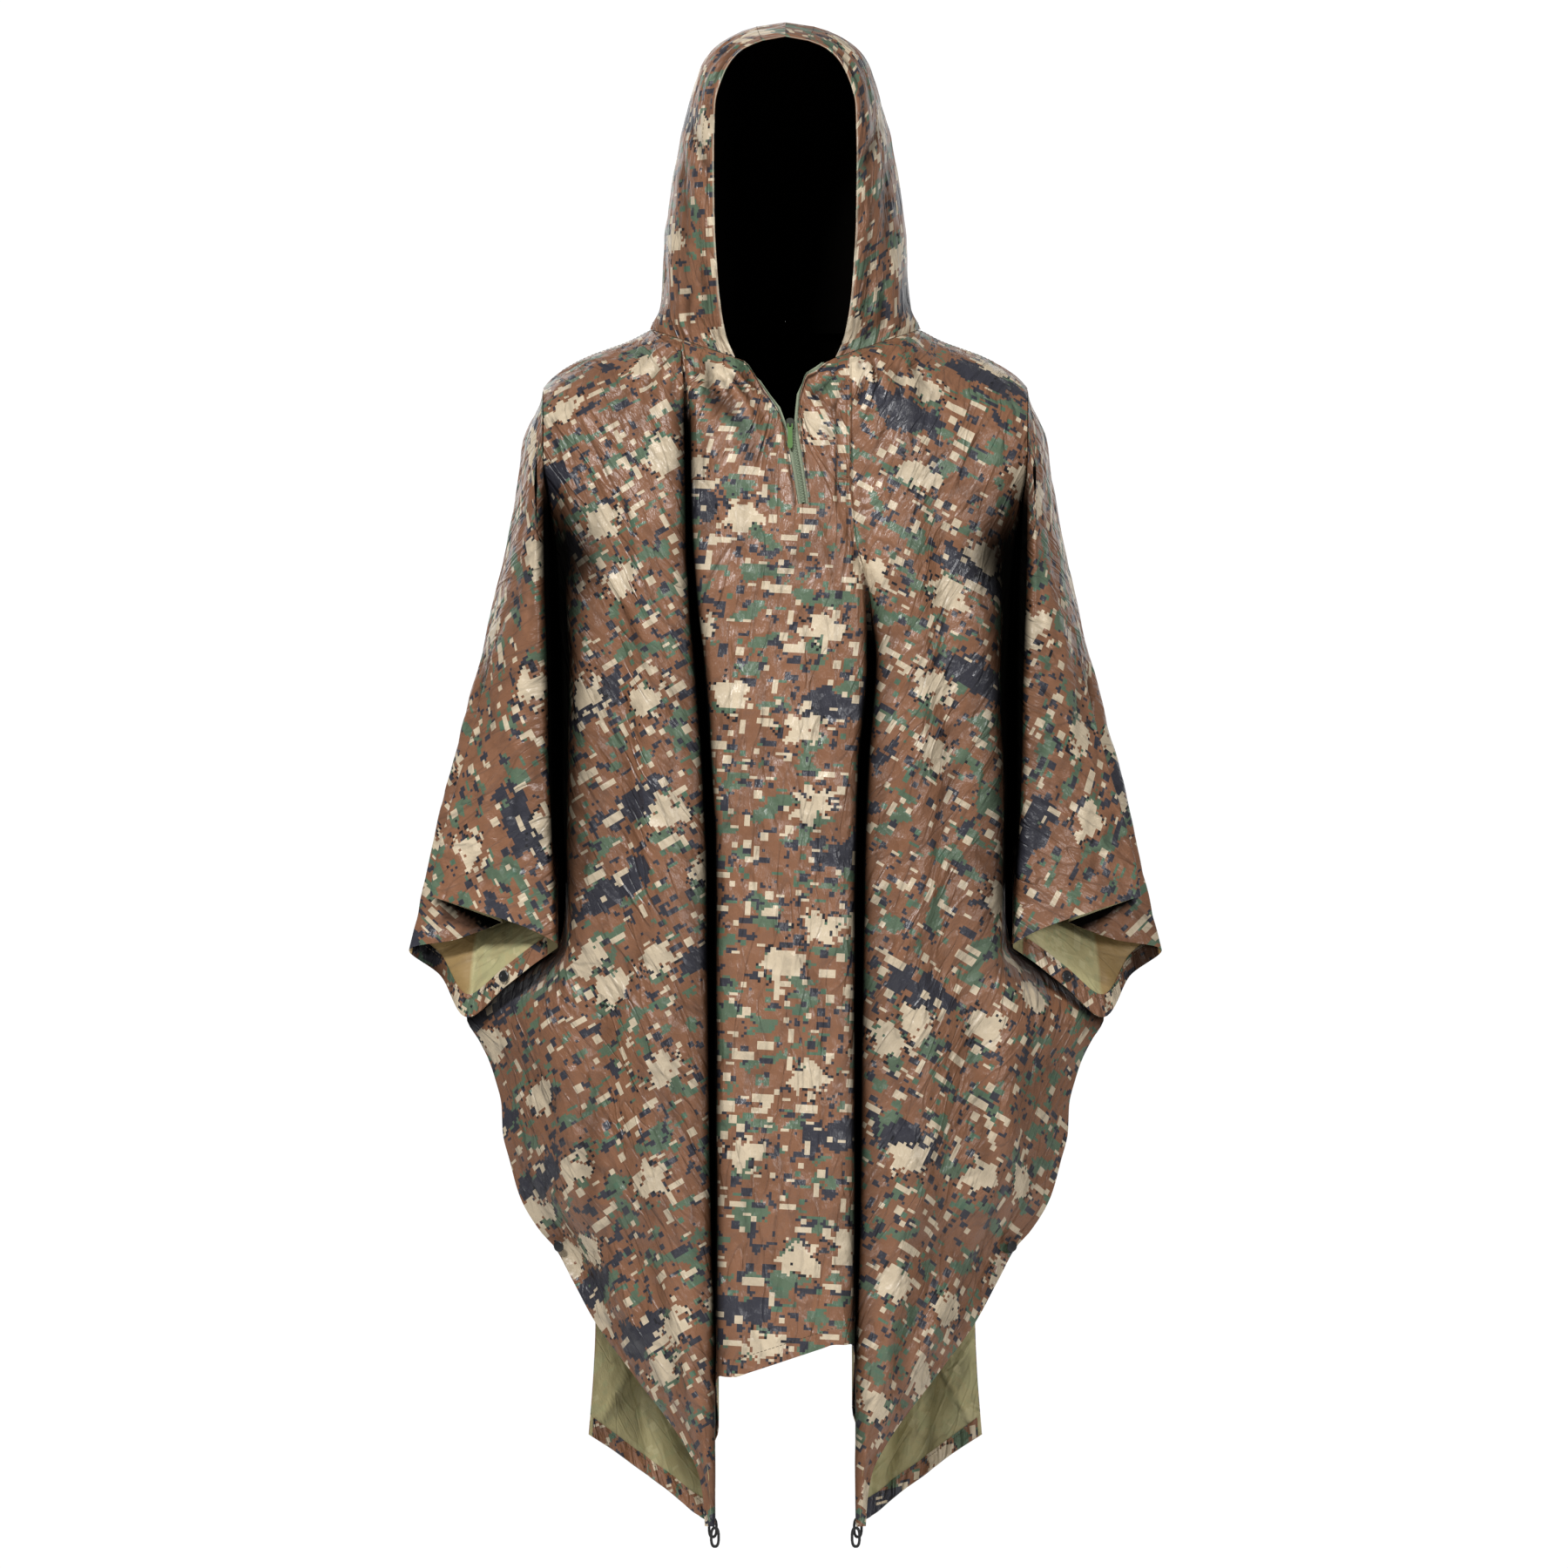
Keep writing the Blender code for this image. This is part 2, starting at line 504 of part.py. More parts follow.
# The hem of the cuff, from the body side over the front, out to the tip, and back underneath.
CUFF = table("knot x y z", [
    (0, 222, -62, -580), (1, 221.5, -72, -581), (2, 226, -79, -578), (3, 252, -81, -565),
    (4, 300, -64, -549),
    (5, 343, -40, -536), (6, 347, -36, -535), (7, 343, -32, -536), (8, 281, -42, -558), (9, 277, -37, -560),
    (10, 281, -32, -562), (11, 322, -20, -577), (12, 368.5, 6, -588), (13, 337, 7, -613),
    (14, 311, -19, -653),
    (15, 273, -44, -623), (16, 240, -59, -597), (17, 222.5, -52, -585),
])
TIP_KNOT = 12
# Place of each knot round the arch at the shoulder, from front (-1) to back (1).
CAP_PLACE = np.array([
    -1.0, -0.993, -0.96, -0.78, -0.6, -0.5, -0.44, -0.38, -0.32, -0.26, -0.2, -0.1,
    0, 0.34, 0.64, 0.96, 0.993, 1.0,
])
CAP_X, CAP_TOP, CAP_HEIGHT, CAP_HALF_DEPTH = 237.4, -39.9, 71.0, 80.0
# Share of the length over which each knot leaves the arch for its section.
SETTLE = np.array([0.001, 0.03, 0.07] + [0.10] * 12 + [0.07, 0.03, 0.001])
SLEEVE_LENGTH = 540.0
FIRST_STEP = 0.03                          # the first row below the arch, as a share of the length
CUFF_BLEND = (0.52, 1.0)                   # share of the length over which the tube turns into the hem
UNDERARM_BLEND = (0.66, 0.97)
FOLD_LAYER = 5.0                           # depth of each turn of the long fold
BACK_SEAM_ASIDE = 3.0                      # the seam behind lies nearer the body than the one in front
UNDERARM_KNOT = 15                         # from here to the seam behind, cells are cut the other way
PLEAT_BOTTOM = table("z x y", [
    (-39, 237.4, 79), (-110, 237.4, 79), (-150, 231.7, 66), (-195, 226.7, 52), (-260, 223.7, 45),
    (-325, 221.5, 45), (-440, 221.1, 45), (-480, 222.5, 45), (-589, 222.5, 45),
])


def sleeve_section(z, k):
    """x (positive) and y of knot k of the arm cloth at the heights z, on the tube above the cuff."""
    names = ("lip_x", "side_x", "ridge_x", "depth", "fold")
    lip, side, ridge, depth, fold = (read(SLEEVE, name, z) for name in names)
    folded = smoothstep(105, 200, -z)
    laid = smoothstep(0, 14, fold)

    def lens(x, power):
        share = np.clip((x - lip) / np.maximum(side - lip, 1e-6), 0, 1)
        return depth * np.clip(1 - share ** power, 0, 1) ** 0.75

    if k in (0, 17):
        x = read(PLEAT_BOTTOM, "x", z) - (BACK_SEAM_ASIDE * np.clip((-110 - z) / 85, 0, 1) if k else 0)
        y = read(PLEAT_BOTTOM, "y", z)
    elif k in (1, 16):
        x, y = lip + 0.4, depth - mix(1.2, 9, folded)
    elif k in (2, 15):
        x = lip + np.minimum(6, 0.22 * (side - lip)) + 0.8
        y = lens(x, 2.4)
    elif k == 3:
        x = mix(lip, ridge, 0.45)
        y = lens(x, 2.4)
    elif k == 4:
        x = mix(lip, ridge, 0.76)
        y = lens(x, 2.2)
    elif k in (5, 6, 7):
        plain = mix(ridge, side, (k - 5) * 0.14)
        x = mix(plain, ridge - (0 if k == 6 else 4), laid)
        y = mix(lens(plain, 2.1), lens(ridge, 2.1) - (k - 5) * FOLD_LAYER * 0.8, laid)
    elif k in (8, 9, 10):
        plain = mix(ridge, side, (k - 5) * 0.14)
        under = ridge - fold + (0 if k == 9 else 4)
        x = mix(plain, under, laid)
        y = mix(lens(plain, 2.1), lens(ridge, 2.1) + 0.20 * fold - (k - 5) * FOLD_LAYER, laid)
    elif k == 11:
        plain = mix(ridge, side, 0.84)
        x = mix(plain, mix(ridge - fold, side, 0.5), laid)
        y = mix(lens(plain, 2.1), 0.45 * lens(ridge, 2.1) - 2 * laid, laid)
    elif k == TIP_KNOT:
        x, y = side, 0 * z
    elif k == 13:
        x = mix(lip, side, 0.78)
        y = lens(x, 1.9)
    else:
        x = mix(lip, side, 0.42)
        y = lens(x, 2.4)
    return x, np.where(k < TIP_KNOT, -y, y)


def sleeve(side_sign, s, rows):
    """Mid-surface of the cloth over one arm, from the shoulder arch to the hem of the cuff."""
    net = np.empty((rows, len(CUFF["knot"]), 3))
    down = np.insert(down_to_hem(rows - 1, HEM_WIDTH / SLEEVE_LENGTH), 1, FIRST_STEP)
    for k in range(net.shape[1]):
        top_y = CAP_PLACE[k] * CAP_HALF_DEPTH
        top_z = CAP_TOP - CAP_HEIGHT * (1 - math.sqrt(1 - CAP_PLACE[k] ** 2))
        z = mix(top_z, CUFF["z"][k], down)
        x, y = sleeve_section(z, k)
        turn = smoothstep(*(UNDERARM_BLEND if k > 14 else CUFF_BLEND), down)
        x = x + turn * (CUFF["x"][k] - x[-1])
        y = y + turn * (CUFF["y"][k] - y[-1])
        settle = np.sin(np.clip(down / SETTLE[k], 0, 1) * math.pi / 2)
        net[:, k, 0] = side_sign * mix(CAP_X, x, settle)
        net[:, k, 1] = mix(top_y, y, settle)
        net[:, k, 2] = z
    return across(net, s)


RIM_TURNS = (0.95, 0.99)                   # places on the arch between which its rim turns to the body


def arch_normals(grid, side_sign):
    """Normals of the arm cloth; along the shoulder arch they lie in the plane of its rim.

    At the two ends of the arch, where the fold beside the body begins, they turn to the body.
    """
    normal = normals(grid)
    y = grid[0, :, 1] / CAP_HALF_DEPTH
    z = (grid[0, :, 2] - CAP_TOP) / CAP_HEIGHT + 1
    rim = np.stack([0 * y, y / CAP_HALF_DEPTH, z / CAP_HEIGHT], axis=-1)
    rim = unit(rim)
    rim[:, 0] = -side_sign * smoothstep(*RIM_TURNS, np.abs(y))
    rim = unit(rim)
    normal[0] = rim * np.sign(np.sum(rim * normal[0], axis=1).sum())
    return normal


SLEEVE_WIDE = {3: 1, 4: 1, 7: 1, 10: 1, 11: 1, 12: 1, 13: 1, 14: 1}
SLEEVE_ROWS = 16
sleeve_s = with_middles(len(CUFF["knot"]), SLEEVE_WIDE)
sleeve_grids, sleeve_normals = {}, {}
for side_name, sign in (("left", -1), ("right", 1)):
    grid = sleeve(sign, sleeve_s, SLEEVE_ROWS)
    if sign > 0:
        grid = grid[:, ::-1]
    sleeve_grids[side_name] = grid
    sleeve_normals[side_name] = arch_normals(grid, sign)
    underarm = (sleeve_s[:-1] if sign < 0 else sleeve_s[:0:-1] - 1) >= UNDERARM_KNOT
    mirrored = underarm == (sign < 0)
    wall("sleeve_" + side_name, grid, WALL, CLOTH, normal=sleeve_normals[side_name], mirrored=mirrored)


# ---------------------------------------------------------------- hood

HOOD = table("h width opening front back", [
    (0.0, 132, 49, 81.7, 98),
    (0.07, 123.5, 58, 88, 104),
    (0.24, 119.5, 65.5, 97, 116),
    (0.45, 112, 69, 104, 124),
    (0.62, 103, 69.5, 104, 126),
    (0.78, 90, 68.5, 100, 122),
    (0.88, 78, 60, 94, 114),
    (0.95, 56, 45, 88, 104),
    (0.985, 30, 24, 84, 97),
    (1.0, 0, 0, 82, 94),
])
CROWN = table("v z", [(0, 303.5), (0.25, 314), (0.5, 321), (0.75, 312), (1, 282)])
HOOD_LIFT = WALL / 2 + 0.9                # the hood's foot stands this much above the neck seam
HOOD_START = math.radians(20)             # slant of the hood's side at the rim


def hood(side_sign, heights, rounds):
    """Mid-surface of one half of the hood: h from neck to crown, v from the rim to the back seam."""
    h, v = heights[:, None], rounds[None, :]
    angle = mix(HOOD_START, math.pi, v)
    sin, cos = np.sin(angle), np.cos(angle)
    width, opening, front, back = (read(HOOD, n, h) for n in ("width", "opening", "front", "back"))
    swell = (sin - math.sin(HOOD_START)) / (1 - math.sin(HOOD_START))
    x = np.where(cos > 0, opening + (width - opening) * swell, width * sin)
    y = np.where(cos > 0, -front * cos / math.cos(HOOD_START), -back * cos)
    oval = np.sqrt(np.clip(1 - (x / NECK_HALF_WIDTH) ** 2, 0, 1))
    foot_y = np.where(cos > 0, -NECK_FRONT * oval, NECK_BACK * oval)
    low = 1 - smoothstep(0.0, 0.12, h)
    y = mix(y, foot_y, low)
    x = np.maximum(x, SEAM_HALF)
    foot_z = neck_z(x[:1], cos[:1] > 0) + HOOD_LIFT
    z = mix(foot_z, read(CROWN, "z", v), h)
    return np.stack(np.broadcast_arrays(side_sign * x, y, z), axis=-1)


HOOD_HEIGHTS = np.array([0, 0.05, 0.14, 0.28, 0.42, 0.56, 0.68, 0.78, 0.86, 0.92, 0.97, 1.0])
HOOD_ROUNDS = np.linspace(0, 1, 13)
hood_grids, hood_normals = {}, {}
for side_name, sign in (("left", -1), ("right", 1)):
    grid = hood(sign, HOOD_HEIGHTS, HOOD_ROUNDS)
    grid = grid[::-1] if sign < 0 else grid
    normal = normals(grid)
    normal[0 if sign < 0 else -1, :, 0] = 0.0
    normal[:, -1, 0] = 0.0
    hood_grids[side_name], hood_normals[side_name] = grid, normal
    at_back_seam = np.arange(grid.shape[1] - 1) == grid.shape[1] - 2
    wall("hood_" + side_name, grid, WALL, CLOTH, normal=normal, mirrored=at_back_seam != (sign > 0))


# ---------------------------------------------------------------- turned hems

HEM_SHIFT = WALL / 2 + SEAM + TRIM_WALL / 2


def hem(name, grid, first, last, mirrored):
    """A turned hem on the inner face of a panel's last row of cells, between two of its columns."""
    normal = normals(grid)
    inside = grid - normal * HEM_SHIFT
    mirrored = np.broadcast_to(mirrored, grid.shape[1] - 1)[first:last - 1]
    wall(name, inside[-2:, first:last], TRIM_WALL, CLOTH, normal=normal[-2:, first:last], mirrored=mirrored)


LAST_SIDE = KNOTS_SIDE - 1
hem_ends = column_of(front_s, FRONT_KNOTS - 1 - LAST_SIDE), column_of(front_s, LAST_SIDE) + 1
hem("hem_front", front_grid, *hem_ends, front_mirrored)
hem("hem_back", back_grid, 1, back_grid.shape[1] - 1, back_mirrored)
cuff_start = column_of(sleeve_s, TIP_KNOT) + 1
hem("hem_cuff_left", sleeve_grids["left"], cuff_start, len(sleeve_s) - 1, False)
hem("hem_cuff_right", sleeve_grids["right"], 1, len(sleeve_s) - cuff_start, True)


# ---------------------------------------------------------------- hood rim, turned inside

RIM_COLUMNS = 2                            # the rim lies between the first columns of the hood's grid
for side_name, grid in hood_grids.items():
    normal = hood_normals[side_name]
    inside = (grid - normal * HEM_SHIFT)[1:-1, :RIM_COLUMNS]
    rim_normal = normal[1:-1, :RIM_COLUMNS]
    mirrored = side_name == "right"
    wall("hood_rim_" + side_name, inside, TRIM_WALL, CLOTH, normal=rim_normal, mirrored=mirrored)


# ---------------------------------------------------------------- neck zip

TAPE_BEHIND = 4.0                          # width of the tape under the panel's edge
TAPE_SHOWN = 3.0
TAPE_DIP = 1.0                             # the tape's hidden edge hangs this much clear of the panel
TAPE_SHIFT = WALL / 2 + SEAM + TAPE_WALL / 2


def slit_side(knots, column):
    """Points and normals of one side of the front slit: along the neck's V, then down to its end."""
    columns = [column_of(front_s, k) for k in knots]
    v_edge = np.concatenate([[front_grid[0, c], (front_grid[0, c] + front_grid[0, n]) / 2]
                             for c, n in zip(columns[:-1], columns[1:])])
    v_normal = np.concatenate([[front_normal[0, c], front_normal[0, c]] for c in columns[:-1]])
    return (np.concatenate([v_edge, front_grid[:ROWS_TOP, column]]),
            np.concatenate([v_normal, front_normal[:ROWS_TOP, column]]))


def tape(name, edge, normal, inward):
    """A strip of tape behind the edge, partly under the panel and partly in the slit."""
    aside = inward * unit(np.cross(normal, bisector(edge[:, None], 0)[:, 0]))
    out = unit(normal)
    middle = edge - out * TAPE_SHIFT
    hidden = aside * TAPE_BEHIND - out * TAPE_DIP
    grid = np.stack([middle + hidden, middle + hidden / 2, middle, middle - aside * TAPE_SHOWN], axis=1)
    wall(name, grid, TAPE_WALL, TAPE)


left_edge, left_normal = slit_side([KNOTS_SIDE + k for k in (1, 2, 3, 4)], zip_column + 1)
right_edge, right_normal = slit_side([KNOTS_SIDE + k for k in (8, 7, 6, 5)], zip_column)
tape("zip_tape_left", left_edge, left_normal, -1)
tape("zip_tape_right", right_edge, right_normal, 1)


def loft(name, rings, finish, location=None):
    """A closed solid through rings of points, with a flat cap at each end."""
    count = len(rings[0])
    faces = [tuple(reversed(range(count))), tuple(range((len(rings) - 1) * count, len(rings) * count))]
    for r in range(len(rings) - 1):
        for i in range(count):
            j = (i + 1) % count
            faces.append((r * count + i, r * count + j, (r + 1) * count + j, (r + 1) * count + i))
    points = np.concatenate(rings)
    if location is None:
        return add_object(name, points, faces, finish)
    made = add_object(name, points - location, faces, finish)
    made.location = location * MM
    return made


def placed(local, origin, frame):
    """World points of local (u, v, w) points; the rows of `frame` are the directions of u, v and w."""
    return origin + np.asarray(local) @ frame


def oval(count, half_u, half_v, power):
    """Points round an oval; a power of 2 makes an ellipse, a high power a rounded rectangle."""
    turn = (np.arange(count) + 0.5) * 2 * math.pi / count
    cos, sin = np.cos(turn), np.sin(turn)
    return np.stack([half_u * np.sign(cos) * np.abs(cos) ** (2 / power),
                     half_v * np.sign(sin) * np.abs(sin) ** (2 / power)], axis=-1)


# The closed teeth: one low bar between the tapes, from the slider to the end of the slit.
CHAIN_SECTION = [(-2, -0.4), (2, -0.4), (2, 1), (1.1, 1.6), (-1.1, 1.6), (-2, 1)]
slit_left = front_grid[:ROWS_TOP, zip_column + 1]
slit_right = front_grid[:ROWS_TOP, zip_column]
slit_middle = (slit_left + slit_right) / 2
slit_across = unit(slit_right - slit_left)
slit_out = unit(front_normal[:ROWS_TOP, zip_column] + front_normal[:ROWS_TOP, zip_column + 1])
slit_out = slit_out * np.sign(-slit_out[:, 1:2])
slit_middle[-1] = mix(slit_middle[-1], slit_middle[-2], 0.08)
chain_rings = [slit_middle[r] + np.array([u * slit_across[r] + w * slit_out[r] for u, w in CHAIN_SECTION])
               for r in range(ROWS_TOP)]
loft("zip_chain", chain_rings, CHAIN)

# The slider: a rounded body with a lug in front, where the pull tab turns.
SLIDER_AT = np.array([4.6, -113.4, -74.5])
SLIDER_LEAN = math.radians(24)             # slope of the chest behind the slider
LUG_DOWN, LUG_RADIUS, BODY_FRONT = 3.2, 1.6, 2.2
AXIS_OUT = BODY_FRONT + 1.7                # the tab's axis stands this far out of the slider's middle


def leaning(angle):
    """Directions across, down and out of a chest that leans forward by the angle."""
    sin, cos = math.sin(angle), math.cos(angle)
    return np.array([[1.0, 0.0, 0.0], [0.0, -sin, -cos], [0.0, -cos, sin]])


slider_frame = leaning(SLIDER_LEAN)
SLIDER_RINGS = table("w half_u half_v down power", [
    (-0.8, 3.4, 4.8, 0, 3), (-0.3, 4, 5.4, 0, 3), (1.7, 4, 5.4, 0, 3), (BODY_FRONT, 3.5, 4.9, 0, 3),
    (BODY_FRONT + 0.01, 1.0, LUG_RADIUS, LUG_DOWN, 8), (AXIS_OUT, 1.0, 1.6, LUG_DOWN, 8),
    (AXIS_OUT + 0.8, 1.0, 1.39, LUG_DOWN, 8), (AXIS_OUT + 1.3, 1.0, 0.93, LUG_DOWN, 8),
    (AXIS_OUT + LUG_RADIUS, 0.9, 0.3, LUG_DOWN, 8),
])
slider_rings = []
for w, half_u, half_v, down, power in zip(*SLIDER_RINGS.values()):
    flat = oval(12, half_u, half_v, power) + (0, down)
    slider_rings.append(placed(np.column_stack([flat, np.full(12, w)]), SLIDER_AT, slider_frame))
loft("zip_slider", slider_rings, CHAIN)

# The pull tab: a thin plate whose forked end straddles the lug.
PULL_OUTLINE = [
    (-2.7, -1.2), (-1.3, -1.2), (-1.3, 2.2), (1.3, 2.2), (1.3, -1.2), (2.7, -1.2), (2.7, 3), (2.1, 5),
    (2.6, 20.5), (2.0, 23), (0, 24), (-2.0, 23), (-2.6, 20.5), (-2.1, 5), (-2.7, 3),
]
PULL_HALF = 0.6
PULL_LEAN = math.radians(15)
pull_axis = placed([0, LUG_DOWN, AXIS_OUT], SLIDER_AT, slider_frame)
pull_rings = [placed([(u, v, w) for u, v in PULL_OUTLINE], pull_axis, leaning(PULL_LEAN))
              for w in (-PULL_HALF, PULL_HALF)]
loft("zip_pull", pull_rings, PULL, pull_axis)


# ---------------------------------------------------------------- snaps

SNAP_CAP = [(5.0, 0.0), (5.6, 0.4), (5.6, 0.9), (4.6, 1.5), (2.6, 1.8)]
SNAP_SOCKET = [(5.2, 0.0), (5.8, 0.4), (5.8, 1.1), (4.6, 1.6), (3.0, 1.6), (2.4, 0.8)]


def snap(name, centre, outward, profile):
    """A snap half: a turned disc on the cloth."""
    w = unit(outward)
    u = unit(np.cross(w, (0.0, 0.0, 1.0)))
    frame = np.array([u, np.cross(w, u), w])
    rings = [placed(np.column_stack([oval(14, r, r, 2), np.full(14, height)]), centre, frame)
             for r, height in profile]
    loft(name, rings, BLACK)


def at_height(grid, columns, z):
    """The mean of two columns of a grid of points or normals, read at a height of the grid."""
    points, values = grid
    row = int(np.argmax(points[:, columns[0], 2] < z)) - 1
    top, low = points[row, columns[0], 2], points[row + 1, columns[0], 2]
    f = (top - z) / (top - low)
    return np.mean([mix(values[row, c], values[row + 1, c], f) for c in columns], axis=0)


SIDE_SNAP_Z = -877.0
SNAP_STAND = WALL / 2 + SEAM
BAND_LIFT, CUFF_LIFT, SIDE_LIFT = 0.5, 1.0, 0.3   # more, where the cloth under a snap is curved
for side_name, sign in (("left", -1), ("right", 1)):
    grid, normal = sleeve_grids[side_name], sleeve_normals[side_name]
    band = column_of(sleeve_s if sign < 0 else sleeve_s[::-1], 15)
    inner = -unit(normal[-2, band] + normal[-1, band])
    middle = (grid[-2, band] + grid[-1, band]) / 2
    lift = SNAP_STAND + TRIM_WALL + SEAM + BAND_LIFT
    snap("snap_cuff_back_" + side_name, middle + inner * lift, inner, SNAP_SOCKET)
    front = column_of(sleeve_s if sign < 0 else sleeve_s[::-1], 3)
    inner = -unit(normal[-2, front] + normal[-1, front])
    middle = (grid[-2, front] + grid[-1, front]) / 2
    snap("snap_cuff_front_" + side_name, middle + inner * (SNAP_STAND + CUFF_LIFT), inner, SNAP_SOCKET)
    columns = (len(front_s) - 1, len(front_s) - 2) if sign < 0 else (0, 1)
    centre = at_height((front_grid, front_grid), columns, SIDE_SNAP_Z)
    out = unit(at_height((front_grid, front_normal), columns, SIDE_SNAP_Z))
    out = out * np.sign(-out[1])
    snap("snap_side_front_" + side_name, centre + out * (SNAP_STAND + SIDE_LIFT), out, SNAP_CAP)
    columns = (0, 1) if sign < 0 else (len(back_s) - 1, len(back_s) - 2)
    centre = at_height((back_grid, back_grid), columns, SIDE_SNAP_Z)
    out = unit(at_height((back_grid, back_normal), columns, SIDE_SNAP_Z))
    out = out * np.sign(out[1])
    snap("snap_side_back_" + side_name, centre + out * (SNAP_STAND + SIDE_LIFT), out, SNAP_CAP)


# ---------------------------------------------------------------- corner loops

LOOP_OUTER, LOOP_INNER, LOOP_HALF_THICK = (5.0, 10.5), (2.3, 7.6), 1.0
LOOP_SIDES, LOOP_SQUARENESS = 16, 2.6
CORNER_LOOPS = {"front": (68.5, -109.0, -1157.6), "back": (71.5, 106.0, -1158.2)}


def corner_loop(name, centre):
    """A flat ring of cord in the plane of x and z."""
    rings = []
    for half, y in ((LOOP_OUTER, -1), (LOOP_OUTER, 1), (LOOP_INNER, 1), (LOOP_INNER, -1)):
        flat = oval(LOOP_SIDES, *half, LOOP_SQUARENESS)
        depth = np.full(LOOP_SIDES, y * LOOP_HALF_THICK)
        rings.append(centre + np.column_stack([flat[:, 0], depth, flat[:, 1]]))
    faces = []
    for r in range(len(rings)):
        for i in range(LOOP_SIDES):
            a, b = r * LOOP_SIDES, (r + 1) % len(rings) * LOOP_SIDES
            j = (i + 1) % LOOP_SIDES
            faces.append((a + i, b + i, b + j, a + j))
    add_object(name, np.concatenate(rings), faces, BLACK)


for place, (x, y, z) in CORNER_LOOPS.items():
    corner_loop(f"loop_{place}_left", np.array([-x, y, z]))
    corner_loop(f"loop_{place}_right", np.array([x, y, z]))
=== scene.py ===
# Looks of a hooded rain poncho, as worn, on its CAD frame. Sizes in the tables are millimetres.
import math

import bpy
import numpy as np
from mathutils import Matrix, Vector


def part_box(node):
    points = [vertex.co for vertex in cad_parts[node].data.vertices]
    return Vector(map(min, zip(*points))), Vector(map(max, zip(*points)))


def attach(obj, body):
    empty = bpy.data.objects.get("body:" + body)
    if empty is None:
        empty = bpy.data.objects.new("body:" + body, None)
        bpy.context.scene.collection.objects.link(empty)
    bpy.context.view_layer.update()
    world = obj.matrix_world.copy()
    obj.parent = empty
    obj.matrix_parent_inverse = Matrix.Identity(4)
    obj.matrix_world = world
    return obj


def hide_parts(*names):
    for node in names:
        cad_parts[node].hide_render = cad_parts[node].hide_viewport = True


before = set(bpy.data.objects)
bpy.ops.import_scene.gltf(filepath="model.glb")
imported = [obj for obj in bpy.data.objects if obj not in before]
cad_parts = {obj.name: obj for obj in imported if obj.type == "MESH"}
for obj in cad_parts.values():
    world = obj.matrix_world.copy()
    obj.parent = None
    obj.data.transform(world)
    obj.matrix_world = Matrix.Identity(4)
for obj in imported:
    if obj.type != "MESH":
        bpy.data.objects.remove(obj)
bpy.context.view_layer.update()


# ======================================================================== front of the body sheet
# The front of one big rectangle of printed polyester, coated inside against rain. It hangs from the
# shoulders, is laid in two deep pleats beside the centre, and is slit for the neck zip.

def table(names, rows):
    """Named columns from rows of numbers; the others are read against the first."""
    return dict(zip(names.split(), np.array(rows, dtype=float).T))


def hermite(f, a, b, width, slope_a, slope_b):
    """A cubic from a to b while f runs from 0 to 1, with the given slopes at its two ends."""
    return ((1 + 2 * f) * (1 - f) ** 2 * a + f * (1 - f) ** 2 * width * slope_a
            + f * f * (3 - 2 * f) * b - f * f * (1 - f) * width * slope_b)


def read(tab, name, at):
    """Column `name` at values of the first column, on a monotone cubic through the rows."""
    x, y = next(iter(tab.values())), tab[name]
    if x[0] > x[-1]:
        x, y = x[::-1], y[::-1]
    step = np.diff(x)
    slope = np.diff(y) / step
    same = slope[:-1] * slope[1:] > 0
    weight_a, weight_b = 2 * step[1:] + step[:-1], step[1:] + 2 * step[:-1]
    safe_a, safe_b = np.where(same, slope[:-1], 1.0), np.where(same, slope[1:], 1.0)
    even = (weight_a + weight_b) / (weight_a / safe_a + weight_b / safe_b)
    tangent = np.concatenate([slope[:1], np.where(same, even, 0.0), slope[-1:]])
    at = np.clip(np.asarray(at, dtype=float), x[0], x[-1])
    i = np.clip(np.searchsorted(x, at, side="right") - 1, 0, len(x) - 2)
    return hermite((at - x[i]) / step[i], y[i], y[i + 1], step[i], tangent[i], tangent[i + 1])


def smoothstep(low, high, x):
    """0 below `low`, 1 above `high`, an S curve between."""
    f = np.clip((np.asarray(x, dtype=float) - low) / (high - low), 0.0, 1.0)
    return f * f * (3 - 2 * f)


def mix(a, b, f):
    return a + (b - a) * f


def across(net, at):
    """Points on a centripetal Catmull-Rom curve through the knots of each row.

    `net` is rows x knots x 3. `at` counts in knots: 2.5 lies halfway from the third to the fourth.
    """
    net, at = np.asarray(net, dtype=float), np.asarray(at, dtype=float)
    gap = np.linalg.norm(np.diff(net, axis=1), axis=2)[..., None] ** 0.5 + 1e-6
    slope = np.diff(net, axis=1) / gap
    left, right = gap[:, :-1], gap[:, 1:]
    inner = (slope[:, :-1] * right + slope[:, 1:] * left) / (left + right)
    tangent = np.concatenate([slope[:, :1], inner, slope[:, -1:]], axis=1)
    i = np.clip(at.astype(int), 0, net.shape[1] - 2)
    return hermite((at - i)[None, :, None], net[:, i], net[:, i + 1], gap[:, i],
                   tangent[:, i], tangent[:, i + 1])


NECK_HALF_WIDTH, NECK_FRONT, NECK_BACK = 132.0, 88.0, 98.0
NECK_SIDE_Z, NECK_FRONT_SLOPE, NECK_BACK_RISE = 19.0, 0.35, 3.0
ZIP_END_Z, BACK_CHEST_Z = -153.0, -130.0   # where the section tables begin at the centre
SEAM_HALF = 0.03
SHOULDER = table("x z", [
    (132, 19), (153, 8), (169, 2), (191, -6), (211, -16), (227, -27), (238, -39),
])

# Edge of the front slit, from the left side of the neck to the right side.
SLIT = table("x y z", [
    (-49, -81.7, -10.05), (-38, -86, -14), (-25, -94, -35), (-7, -106, -61), (1, -116, -84),
    (11, -115, -81), (14, -107, -48), (20, -97, -27), (30, -91, -23), (37, -87, -16),
    (49, -81.7, -10.05),
])


